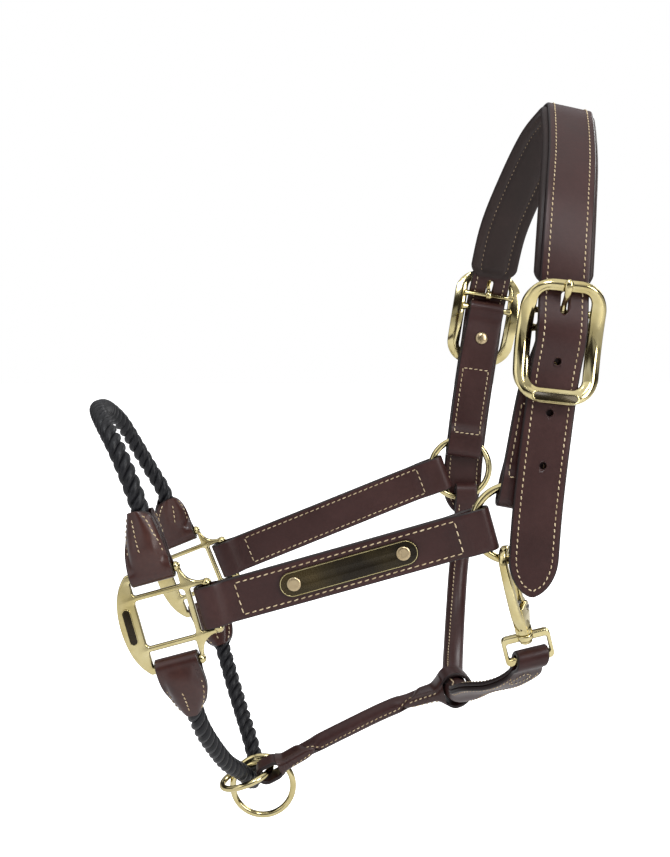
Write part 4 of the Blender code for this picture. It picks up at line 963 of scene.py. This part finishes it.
# ================================================================ fittings
def fitting(side, c, roll, front):
    a = Vector((math.cos(roll), 0, math.sin(roll)))
    b = Vector((-math.sin(roll), 0, math.cos(roll)))
    outline = []

    def arc(cx, cy, r, d0, d1, seg):
        for j in range(seg + 1):
            t = math.radians(d0 + (d1 - d0) * j / seg)
            outline.append((cx + r * math.cos(t), cy + r * math.sin(t)))

    def curve(p0, p1, p2, seg):
        for j in range(1, seg):
            u = j / seg
            outline.append(tuple((1 - u) ** 2 * A + 2 * u * (1 - u) * B + u * u * C for A, B, C in zip(p0, p1, p2)))
    arc(13.5, 27.6, 2.6, -20, 90, 8)
    outline.append((0, 30.2))
    arc(-15.5, 27.4, 2.6, 90, 140, 5)
    curve((-17.5, 29.0), (-26.9, 20.0), (-27.2, 0.0), 12)
    outline.append((-27.2, 0.0))
    curve((-27.2, 0.0), (-26.9, -20.6), (-17.5, -29.8), 12)
    arc(-15.5, -28.2, 2.6, 220, 270, 5)
    outline.append((0, -30.8))
    arc(13.5, -28.6, 2.6, 270, 380, 8)
    curve((15.9, -27.0), (17.0, -17.0), (27.0, -16.0), 8)
    arc(28.2, -13.6, 2.6, 255, 360, 8)
    outline.append((30.8, 0))
    arc(28.2, 13.6, 2.6, 0, 105, 8)
    curve((27.0, 16.0), (17.0, 17.0), (15.9, 26.5), 8)
    window = rounded(15.0, 14.0, 2.2, 5)
    slots = []
    for x0, x1, y0, y1 in ((-14.6, 13.6, 17.2, 25.4), (-14.6, 13.6, -26.4, -17.2), (18.4, 26.2, -13.4, 13.4)):
        cx, cy = (x0 + x1) / 2, (y0 + y1) / 2
        slots.append([(x + cx, y + cy) for x, y in rounded((x1 - x0) / 2, (y1 - y0) / 2, 1.2, 4)])
    n = a.cross(b)
    bg_ = bag_of(plate_parts((c, a, b, n), outline, [window] + slots, -2.0, 2.0, 1.05, 4))
    for x, y in ((13.6, 27.9), (28.5, 13.8), (28.5, -13.8), (13.6, -28.9)):
        bg_.add(*ball(c + a * x + b * y + n * 0.2, 3.0))
    take(bg_.make(side + "_nose_fitting_brass", BRASS, 60), "root", "polished_brass", side + "_nose_fitting")
    cc = c + a * (-21.3) + n * (2.0 * front)
    fr = (cc, b, a * -1, n * front)
    take(bag_of(plate_parts(fr, stadium(8.6, 2.7), [stadium(8.4, 2.15)], -0.5, 0.45, 0.2, 2)).make(side + "_fitting_cartouche_rim", BRASS, 60), "root", "polished_brass")
    take(bag_of(plate_parts(fr, stadium(8.4, 2.25), [], -0.5, 0.22, 0.1, 2)).make(side + "_fitting_cartouche", PLATE, 60), "root", "plate_dark")
    return a, b, n


FN = fitting("near", FIT_NEAR, math.radians(15.0), 1)
FF = fitting("far", FIT_FAR, math.radians(21.5), -1)


def bar_of(c, fr, a, b):
    return c + fr[0] * a + fr[1] * b


# ================================================================ nose straps
def nose(side, c, fr, rc, sag, off):
    start = bar_of(c, fr, 28.4, 0)
    d = (rc - start).normalized()
    up = Vector((0, 1, 0)).cross(d).normalized() * -1
    end = rc + d * (-11.2) + up * off
    end.y = rc.y
    first = start + fr[0] * 9.0
    last = end - d * 24.0
    last.y = rc.y
    mid = start.lerp(end, 0.45) + Vector((0, sag, 0))
    p = Path([start, first, mid, last, end], [(0, fr[1] * -1), (1, up * -1)])
    o, face = band(side + "_nose_strap_leather", p, (-6.0 - PLY / 2, 'loop', 3.4, 4.0, 9.0), (p.length, 'loop', 3.2, 8.5, 13.0), PLY, lambda s: NOSE_W, LEATHER)
    take(o, "root", "leather_havana", side + "_nose_strap")
    bag = Bag()
    for sd in (1, -1):
        box_stitch(bag, face, 16.5, p.length - 20.0, sd, 9.6, 4.25)
    take(bag.make(side + "_nose_strap_stitching", THREAD), "root", "leather_havana")
    return p


nose_n = nose("near", FIT_NEAR, FN, RING_NEAR, -1.2, 1.0)
nose_f = nose("far", FIT_FAR, FF, RING_FAR, 1.2, 1.6)

# name plate
t, w, n = nose_n.frame(83.0)
outward = n if n.y < 0 else -n
sgn = 1.0 if n.y < 0 else -1.0
face_h = PLY + 0.15
q = nose_n.point(83.0)
up = w if w.z > 0 else -w
tt = up.cross(outward).normalized()
tt = tt if tt.x > 0 else -tt
stand = max((nose_n.at(s, sgn * face_h) - q).dot(outward) for s in (42, 56, 83.0, 110, 124)) + 0.35
plate_c = q + outward * stand
take(bag_of(plate_parts((plate_c, tt, up, outward), stadium(34.0, 7.5, 24), [circle(-32.8, 0, 1.6), circle(32.8, 0, 1.6)], -0.15, 1.0, 0.3, 3)).make("name_plate_enamel", PLATE, 60), "root", "plate_dark", "name_plate")
take(bag_of(plate_parts((plate_c, tt, up, outward), stadium(34.0, 7.05, 24), [stadium(34.0, 6.65, 24)], 0.8, 1.12, 0.1, 2)).make("name_plate_border", BRASS, 60), "root", "polished_brass")
for nm, x in (("name_plate_front_rivet", -32.8), ("name_plate_rear_rivet", 32.8)):
    back = stand + face_h + 1.2
    take(turned(nm + "_brass", plate_c + tt * x, outward, tt, [(-back - 0.9, 0.0), (-back - 0.8, 1.6), (-back - 0.5, 2.6), (-back, 3.0), (-back + 0.6, 3.0), (-back + 0.9, 1.4), (0.95, 1.4), (1.02, 3.9),
                                                       (1.35, 4.1), (1.8, 4.0), (2.1, 3.6), (2.25, 3.0), (2.2, 2.2), (2.2, 0.0)], RIVET), "root", "polished_brass", nm)

# ================================================================ ropes and tabs
nb, fb_ = bar_of(FIT_NEAR, FN, -0.5, 27.8), bar_of(FIT_FAR, FF, -0.5, 27.8)
nose_rope = Path([nb, nb + FN[1] * 9.0, (-262.2, -87.2, -255.0), (-265.3, -84.5, -238.0), (-271.1, -82.5, -221.3), (-278.8, -76.5, -204.9),
                  (-288.2, -63.0, -191.3), (-297.0, -38.0, -184.1), (-303.6, 0.0, -183.4), (-305.4, 38.0, -186.6),
                  (-300.8, 62.0, -196.7), (-293.4, 76.0, -213.7), (-283.9, 83.0, -232.7), (-274.9, 85.0, -249.2),
                  (-270.6, 86.8, -264.0), fb_ + FF[1] * 9.0, fb_],
                 [(0, FN[0]), (0.2, (0.8, -0.5, 0)), (0.5, (0, -1, 0)), (0.8, (-0.8, -0.5, 0)), (1, FF[0] * -1)])
nb2, fb2 = bar_of(FIT_NEAR, FN, -0.5, -28.7), bar_of(FIT_FAR, FF, -0.5, -28.7)
chin_rope = Path([nb2, nb2 - FN[1] * 8.0, (-238.8, -85.5, -344.0), (-236.2, -79.5, -356.0), (-232.6, -69.0, -372.5), (-227.2, -52.0, -391.0),
                  (-219.8, -31.0, -410.6), (-213.0, -12.0, -423.4), (-209.2, 0.0, -432.0), (-207.0, 10.0, -438.6),
                  (-206.0, 20.0, -441.6), (-205.6, 28.6, -438.6), (-206.4, 33.4, -430.4), (-210.5, 42.0, -418.5),
                  (-217.2, 58.0, -405.0), (-223.8, 70.0, -389.0), (-230.4, 79.0, -370.0), (-236.4, 85.4, -353.5), fb2 - FF[1] * 8.0, fb2],
                 [(0, FN[0]), (0.2, (1, 0, 0)), (0.5, (1, 0, 0)), (0.8, (1, 0, 0)), (1, FF[0])])


def rope(name, path, s0, s1, node):
    """Three-strand laid rope: each strand a twisted bundle of yarns."""
    bag = Bag()
    lay, sr, hr, yarns = 22.5, 2.58, 2.98, 10
    # parallel-transported frame along the path, so that the lay is even
    step = 1.05
    n = int((s1 - s0) / step)
    fr = []
    up_ = path.frame(s0)[1]
    for i in range(n + 1):
        s = s0 + (s1 - s0) * i / n
        p = path.point(s)
        t = (path.point(min(s + 1.0, path.length)) - path.point(max(s - 1.0, 0))).normalized()
        up_ = (up_ - t * up_.dot(t)).normalized()
        fr.append((s, p, t, up_, t.cross(up_)))
    for k in range(3):
        secs = []
        for i, (s, p, t, u, v) in enumerate(fr):
            ph = 2 * math.pi * (s / lay + k / 3)
            d = u * math.cos(ph) + v * math.sin(ph)
            tg = (v * math.cos(ph) - u * math.sin(ph))
            st_dir = (t + tg * (2 * math.pi * hr / lay)).normalized()
            side_ = st_dir.cross(d).normalized()
            c = p + d * hr
            end = min(1.0, 0.35 + min(i, n - i) * 0.3)
            ring_ = []
            for j in range(40):
                a = 2 * math.pi * j / 40
                r = sr * end * (1 + 0.045 * abs(math.cos(yarns / 2 * (a + ph * 2.0)))) * (1.0 + 0.02 * noise.noise(Vector((s * 0.4, a, k * 9.0))))
                ring_.append(c + (d * math.cos(a) + side_ * math.sin(a) * 1.02) * r)
            secs.append(ring_)
        bag.add(*skin(secs))
    return take(bag.make(name, ROPE, 80), "root", "rope_black", node)


rope("nose_rope_laid", nose_rope, 16.0, nose_rope.length - 16.0, "nose_rope")
rope("chin_rope_laid", chin_rope, 16.0, chin_rope.length - 16.0, "chin_rope")


def tab(side_name, path, at_start, long, half=13.0):
    s_end = 0.0 if at_start else path.length
    sg = 1 if at_start else -1
    R0 = ROPE_R + 0.15
    flat = (TAB_PLY + 0.3) / 2
    H = 3.5 + TAB_PLY / 2

    def hwidth(x):
        k = max(0.0, (x - 8) / (long - 8))
        w = 7.0 + (half + 0.2 - 7.0) * (1 - k ** 2.1) if k > 0 else half + 0.2 * ss(x / 8.0)
        e = long - x
        if e < 5.5:
            w = min(w, 2.6 + (w - 2.6) * max(0.0, 1 - ((5.5 - e) / 5.5) ** 2.0) ** 0.5)
        return w

    def dome(x, w):
        k = max(0.0, (x - 8) / (long - 8))
        sp = min(10.6, 7.0 + (half - 6.8) * (1 - k ** 2.1) - 1.0)
        return ss(max(0.0, 1 - (w / sp) ** 2) ** 0.55)

    def mid_n(x):
        k = ss((x - 0.8) / 9.0)
        return H * (1 - k) + flat * k

    def lift(x, w):
        top_ = H + (flat + R0 * 1.03 - H) * ss(x / 15.0)
        return (top_ - mid_n(x)) * dome(x, w)
    xs = [0, 1.2, 2.4, 3.6, 5, 6.5, 8, 9.5, 11, 12.5, 14, 15.5, 17]
    x = 18.5
    while x < long - 5:
        xs.append(x)
        x += 1.5
    xs += [long - e for e in (4.6, 3.6, 2.7, 1.9, 1.2, 0.6, 0.2, 0.0)]
    line = [(x, 1) for x in reversed(xs)] + [(a, 0) for a in range(1, 12)] + [(x, -1) for x in xs]
    secs, edge = [], []
    for x, sd in line:
        pts = []
        if sd == 0:
            a = math.pi / 2 - math.pi * x / 12
            cs, cn, ns, nz, w = -H * math.cos(a), H * math.sin(a), -math.cos(a), math.sin(a), half
        else:
            cs, cn, ns, nz, w = x, mid_n(x) * sd, 0.0, float(sd), hwidth(x)
        for dw, dn, e in rim(w, TAB_PLY / 2, 14, 0.9):
            nn_ = cn + nz * dn + sd * (lift(x, dw) if sd else 0.0)
            pts.append(path.at(s_end + sg * (cs + ns * dn), nn_, dw))
            edge.append(e * 0.8)
        secs.append(pts)
    o = loft(side_name + "_rope_tab_leather", secs, RED, smooth=60, edge=edge)
    take(o, "root", "leather_havana", side_name + "_rope_tab")

    def face(x, sd, w):
        s = s_end + sg * x
        t, wv, nv = path.frame(s)
        n0 = sd * (mid_n(x) + TAB_PLY / 2 + lift(x, w))
        dl = (lift(x, w + 0.3) - lift(x, w - 0.3)) / 0.6
        return path.point(s) + wv * w + nv * n0, (nv * sd - wv * dl).normalized()
    bag = Bag()
    for sd in (1, -1):
        for q in (1, -1):
            x0, x1 = 11.5, long - 3.2
            ln = [face(x0 + (x1 - x0) * i / 40, sd, q * max(0.6, hwidth(x0 + (x1 - x0) * i / 40) - 2.3)) for i in range(41)]
            stitch(bag, ln, 3.1, 0.7, 0.38, 0.1)
        stitch(bag, [face(12.5 + (long - 17.0) * i / 30, sd, -1.2 + 0.6 * i / 30) for i in range(31)], 3.0, 0.7, 0.38, 0.1)
    take(bag.make(side_name + "_rope_tab_stitching", THREAD), "root", "leather_havana")


tab("near_upper", nose_rope, True, 37.0)
tab("far_upper", nose_rope, False, 31.0)
tab("near_lower", chin_rope, True, 31.0)
tab("far_lower", chin_rope, False, 31.0)

# ================================================================ chin and lead rings
d1 = Vector((math.cos(CHIN_PITCH), 0, math.sin(CHIN_PITCH)))
take(torus("chin_ring_brass", CHIN_C, d1.cross(Vector((0, 1, 0))), d1, 17.4, 2.10, BRASS), "chin_ring_body", "polished_brass", "chin_ring")
take(torus("lead_ring_brass", LEAD_C, (0, 1, 0), (1, 0, 0), 20.4, 2.12, BRASS), "lead_ring_body", "polished_brass", "lead_ring")

# ================================================================ throat strap
hook_p = RING_NEAR + Vector((math.cos(SNAP_AT), 0, math.sin(SNAP_AT))) * 21.6
SA = Vector((0.262, 0.210, -0.942)).normalized()
eye_bar = hook_p + SA * 65.5
BE = (Vector((1, 0, 0)) - SA * SA.x).normalized()
throat = Path([RING_FAR + Vector((4.6, 0, -12.7)), RING_FAR + Vector((4.4, 0, -27.0)), (-51.2, 97.2, -274.0), (-53.8, 94.6, -290.0), (-56.6, 90.0, -310.0), (-60.0, 77.0, -337.0),
               (-64.0, 55.0, -358.0), (-67.8, 29.0, -369.0), (-70.0, 3.0, -371.6), (-67.8, -23.0, -367.0), (-60.5, -46.0, -356.5),
               (-48.0, -64.5, -348.0), (-38.6, -76.0, -338.0), eye_bar], [(0, (1, 0, 0)), (0.75, (1, 0, 0)), (0.92, BE), (1, BE)], ortho=False)
TL = throat.length
roll_from, roll_to = 20.0, throat.near((-70.0, 3.0, -371.6)) + 15.0


def throat_roll(s):
    return ss((s - roll_from) / 16.0) * (1 - ss((s - roll_to) / 26.0))


def throat_w(s):
    return 16.0 + 8.5 * ss((s - roll_to) / 20.0) - 5.6 * ss((s - (TL - 20.0)) / 12.0)


o, tface = band("throat_strap_leather", throat, (0.0, 'loop', 3.2, 6.6, 9.0), (TL + 3.75 + PLY / 2, 'loop', 3.75, 1.0, 9.0), PLY, throat_w, LEATHER,
                roll=throat_roll, radius=lambda s: THROAT_R + 1.05 * math.exp(-((s - roll_to + 15.0) / 11.0) ** 2), turn=-0.72)
take(o, "root", "leather_havana", "throat_strap")
bag = Bag()
for sd, q_, s0, s1 in ((-1, -1, 14.0, TL - 14.0), (1, 1, 14.0, TL - 14.0), (-1, 1, 14.0, 27.0), (1, -1, 14.0, 27.0),
                       (-1, 1, roll_to + 16.0, TL - 14.0), (1, -1, roll_to + 16.0, TL - 14.0)):
    stitch(bag, run(tface, s0, s1, sd, lambda s: q_ * (throat_w(s) / 2 - (1.7 + 1.2 * (1 - throat_roll(s)))), 220), 3.0, 0.70, 0.36, 0.1)
for sd in (1, -1):
    ln = [tface(TL - 19.0 + 6.5 * math.cos(2 * math.pi * i / 40), sd, 5.0 * math.sin(2 * math.pi * i / 40)) for i in range(41)]
    stitch(bag, ln, 2.6, 0.66, 0.34, 0.1)
take(bag.make("throat_strap_stitching", THREAD), "root", "leather_havana")

# ================================================================ jowl strap
JF = CHIN_C + d1 * 17.4 + Vector((0, -4.0, 0))
jowl = Path([JF + Vector((-2.5, 0, -1.2)), JF + Vector((9.0, 0, 5.0)), (-165.0, -2.0, -410.0), (-140.0, -1.0, -397.6), (-118.0, 0.0, -387.2),
             (-98.0, 1.0, -379.4), (-84.0, 2.0, -375.2), (-70.0, 2.8, -371.7), (-58.0, 3.2, -368.8)],
            [(0, (-0.05, 0.98, 0.14)), (0.2, (-0.05, 0.98, 0.14)), (0.5, (0, 1, 0)), (0.85, (0, 1, 0)), (1, (0.05, 1, -0.12))])
JL = jowl.near((-70.0, 2.8, -371.7))


def jowl_roll(s):
    return ss((s - 32.0) / 10.0) * (1 - ss((s - (JL - 42.0)) / 12.0))


def jowl_w(s):
    return 13.0 + 7.0 * ss((s - (JL - 40)) / 30.0)


o, jface = band("jowl_strap_leather", jowl, (-4.6 - PLY / 2, 'loop', 4.2, 6.5, 8.0), (JL + 9.2 + PLY / 2, 'loop', 9.2, 2.5, 13.5), PLY, jowl_w, LEATHER,
                roll=jowl_roll, radius=lambda s: JOWL_R, step=2.0, turn=0.62)
take(o, "root", "leather_havana", "jowl_strap")
bag = Bag()
stitch(bag, run(jface, 14.0, JL - 26.0, -1, lambda s: -(jowl_w(s) / 2 - (1.5 + 0.7 * (1 - jowl_roll(s)))), 140), 3.3, 0.66, 0.36, 0.1)
stitch(bag, run(jface, 14.0, JL - 26.0, 1, lambda s: jowl_w(s) / 2 - (1.5 + 0.7 * (1 - jowl_roll(s))), 140), 3.3, 0.66, 0.36, 0.1)
take(bag.make("jowl_strap_stitching", THREAD), "root", "leather_havana")

# the pointed wraps sewn over both ends of the rolled part
def wrap(name, s0, s1, point, grow, tip_side, stitches):
    K, N = 40, 22
    outer, inner = [], []

    def shell(s, a, off):
        k = jowl_roll(s)
        hgt = PLY + 0.15
        for pos, r, long, taper, sgn in ((-4.6 - PLY / 2, 4.2, 6.5, 8.0, 1), (JL + 9.2 + PLY / 2, 9.2, 2.5, 13.5, -1)):
            H_ = r + PLY / 2
            d = (s - pos) * sgn
            kk = 1 - ss((d - H_ - long) / taper)
            hgt = max(hgt, PLY + 0.15 + (H_ - (PLY + 0.3) / 2) * kk)
        ry = hgt * (1 - k) + (JOWL_R + 0.1) * k + off
        rx = (jowl_w(s) / 2 + 0.25) * (1 - k) + (JOWL_R + 0.1) * k + off
        ex = 0.62 + 0.38 * k
        c_, s_ = math.cos(a), math.sin(a)
        fw = rx * math.copysign(abs(c_) ** ex, c_)
        fn = ry * math.copysign(abs(s_) ** ex, s_)
        t, wv, nv = jowl.frame(s)
        return jowl.point(s) + wv * fw + nv * fn, (wv * c_ + nv * s_).normalized()

    def sat(a, u):
        d = abs(((a - tip_side + math.pi) % (2 * math.pi)) - math.pi) / math.pi
        lead = point * min(1.0, d * 1.5)
        if grow > 0:
            return s0 + lead + (s1 - s0 - lead) * u
        return s0 + (s1 - s0 - lead) * u
    secs = []
    for i in range(N + 1):
        u = i / N
        off = 0.25 + 1.15 * min(1.0, u * 6 if grow > 0 else (1 - u) * 6) ** 0.5
        secs.append([shell(sat(2 * math.pi * j / K, u), 2 * math.pi * j / K, off)[0] for j in range(K)])
    for i in range(N, -1, -1):
        u = i / N
        secs.append([shell(sat(2 * math.pi * j / K, u), 2 * math.pi * j / K, 0.05)[0] for j in range(K)])
    take(loft(name, secs, RED, closed=True, smooth=60), "root", "leather_havana")
    bg2 = Bag()
    for da in stitches:
        ln = []
        for i in range(25):
            u = 0.12 + 0.70 * i / 24 if grow > 0 else 0.30 + 0.58 * i / 24
            a = tip_side + da * (0.25 + 0.75 * (u if grow > 0 else 1 - u))
            ln.append(shell(sat(a, u), a, 1.4))
        stitch(bg2, ln, 3.0, 0.66, 0.36, 0.1)
    take(bg2.make(name + "_stitching", THREAD), "root", "leather_havana")


wedge = []
for i in range(13):
    s = JL - 19.0 + 10.6 * i / 12
    kk = 1 - ss((JL + 9.2 + PLY / 2 - s - 9.2 - PLY / 2 - 2.5) / 13.5)
    hh = max(0.25, (PLY + 0.3) / 2 + (9.2 + PLY / 2 - (PLY + 0.3) / 2) * kk - PLY / 2 - 0.12)
    ww = jowl_w(s) / 2 - 1.1
    wedge.append([jowl.at(s, hh * math.copysign(abs(math.sin(a)) ** 0.5, math.sin(a)), ww * math.copysign(abs(math.cos(a)) ** 0.35, math.cos(a)))
                  for a in [2 * math.pi * (j + 0.5) / 32 for j in range(32)]])
take(loft("jowl_loop_wedge_leather", wedge, LEATHER, smooth=60, edge=[0.6] * (13 * 32)), "root", "leather_havana")
wrap("jowl_rear_wrap_leather", JL - 37.0, JL - 8.6, 12.0, 1, math.pi * 0.97, (-0.75, 0.55))
wrap("jowl_front_wrap_leather", 9.5, 37.0, 11.0, -1, math.pi * 1.05, (-0.6,))

# ================================================================ snap hook
SE = Vector((0.42, 0.906, 0.0))
SE = (SE - SA * SE.dot(SA)).normalized()
SN = SA.cross(SE).normalized()


def snap_at(e, a, n=0.0):
    return hook_p + SE * e + SA * a + SN * n


def spline(pts, seg):
    """A smooth curve through tuples of numbers."""
    out = []
    P = [pts[0]] + list(pts) + [pts[-1]]
    for i in range(1, len(P) - 2):
        for j in range(seg):
            u = j / seg
            out.append(tuple(0.5 * ((2 * b) + (-a + c) * u + (2 * a - 5 * b + 4 * c - d) * u * u + (-a + 3 * b - 3 * c + d) * u ** 3)
                             for a, b, c, d in zip(P[i - 1], P[i], P[i + 1], P[i + 2])))
    out.append(pts[-1])
    return out


arc = [(7.6 * math.cos(math.radians(180 + 180 * j / 10)), 1.3 + 7.6 * math.sin(math.radians(180 + 180 * j / 10)), 2.05, 2.5) for j in range(11)]
line = [(0.3, 45.8, 4.9, 4.4), (0.1, 43.6, 4.8, 4.4), (-2.8, 39.5, 4.0, 3.6), (-6.2, 33.0, 3.2, 3.1), (-7.4, 24.0, 2.7, 2.9), (-7.6, 12.0, 2.4, 2.8)] + arc + [(7.4, 5.4, 1.7, 2.2)]
line = spline(line, 5)
secs = []
for i, (e, a, hi, hn) in enumerate(line):
    p0, p2 = line[max(0, i - 1)], line[min(len(line) - 1, i + 1)]
    d = Vector((p2[0] - p0[0], p2[1] - p0[1])).normalized()
    nx, ny = -d.y, d.x
    pts = []
    for j in range(24):
        g = 2 * math.pi * j / 24
        cx, cz = math.cos(g), math.sin(g)
        x, z = hi * math.copysign(abs(cx) ** 0.7, cx), hn * math.copysign(abs(cz) ** 0.7, cz)
        pts.append(snap_at(e + nx * x, a + ny * x, z))
    secs.append(pts)
sb = bag_of(skin(secs))
lug = [(-4.5, 30.5), (-1.5, 31.0), (5.0, 31.0), (8.8, 31.3), (10.8, 33.5), (10.9, 36.5), (9.5, 39.5), (7.0, 42.5), (5.0, 45.5), (4.4, 47.0), (-4.4, 47.0), (-5.0, 42.0), (-5.6, 36.0)]
for z0, z1 in ((2.05, 3.6), (-3.6, -2.05)):
    sb.add(*plate_parts((hook_p, SE, SA, SN), lug, [circle(7.7, 35.6, 1.25, 16)], z0, z1, 0.45, 3))
sb.add(*turned_parts(snap_at(0.3, 0), SA, SE, [(43.0, 4.2), (44.0, 4.9), (47.0, 5.1), (47.8, 4.8), (48.0, 4.2), (48.02, 2.4), (53.1, 2.4), (53.2, 3.6), (54.1, 3.8), (54.7, 3.2), (54.9, 1.5), (54.95, 0)], 32))
take(sb.make("snap_body_brass", BRASS, 55), "snap", "polished_brass", "snap_body")
gate_line = spline([(6.0, 6.4), (9.2, 6.4), (9.8, 14.0), (9.9, 24.0), (10.1, 29.0), (11.8, 30.8), (12.4, 33.5), (12.0, 36.5), (10.2, 39.0), (6.8, 39.4), (5.7, 36.0), (5.6, 20.0), (5.8, 8.0)], 4)[:-1]
take(bag_of(plate_parts((hook_p, SE, SA, SN), gate_line, [circle(7.7, 35.6, 1.15, 16)], -1.75, 1.75, 0.8, 4)).make("snap_gate_brass", BRASS, 55), "snap_gate_lever", "polished_brass", "snap_gate")
take(turned("snap_gate_pin_steel", snap_at(7.7, 35.6), SN, SE, [(-4.3, 0.0), (-4.25, 1.2), (-4.0, 1.75), (-3.7, 1.8), (-3.65, 0.95), (3.65, 0.95), (3.7, 1.8), (4.0, 1.75), (4.25, 1.2), (4.3, 0.0)], STEEL, 24), "snap", "spring_steel", "snap_gate_pin")
secs = []
for i in range(97):
    u = i / 96
    ph = 2 * math.pi * 8 * u
    c = snap_at(-2.4 + 7.5 * u, 30.4 + 0.95 * math.cos(ph), 0.95 * math.sin(ph))
    rad = (SA * math.cos(ph) + SN * math.sin(ph))
    secs.append([c + (rad * math.cos(2 * math.pi * j / 6) + SE * math.sin(2 * math.pi * j / 6)) * 0.24 for j in range(6)])
spring = loft("snap_gate_spring_coil", secs, STEEL, smooth=60)
take(spring, "snap", "spring_steel", "snap_gate_spring")
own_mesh(spring)
e_top, e_bot = 48.35, 67.7
eye_out = [(x, y + (e_top + e_bot) / 2) for x, y in rounded(14.6, (e_bot - e_top) / 2, 3.2, 6)]
eye_in = [(x, y + (52.8 + 63.1) / 2) for x, y in rounded(12.1, (63.1 - 52.8) / 2, 1.3, 5)]
ey = bag_of(plate_parts((snap_at(0.3, 0), BE, SA, BE.cross(SA)), eye_out, [eye_in], -2.1, 2.1, 1.1, 4))
ey.add(*turned_parts(snap_at(0.3, 0), SA, BE, [(48.4, 2.8), (48.4, 4.6), (48.8, 5.1), (51.8, 5.1), (52.3, 4.6), (52.3, 2.8)], 32))
take(ey.make("snap_swivel_eye_brass", BRASS, 55), "root", "polished_brass", "snap_swivel_eye")

# hidden cores keep their solids, with a cotton look
for nme in ("throat_strap_core", "jowl_strap_core"):
    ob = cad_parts[nme]
    ob.data.materials.clear()
    ob.data.materials.append(CORE)
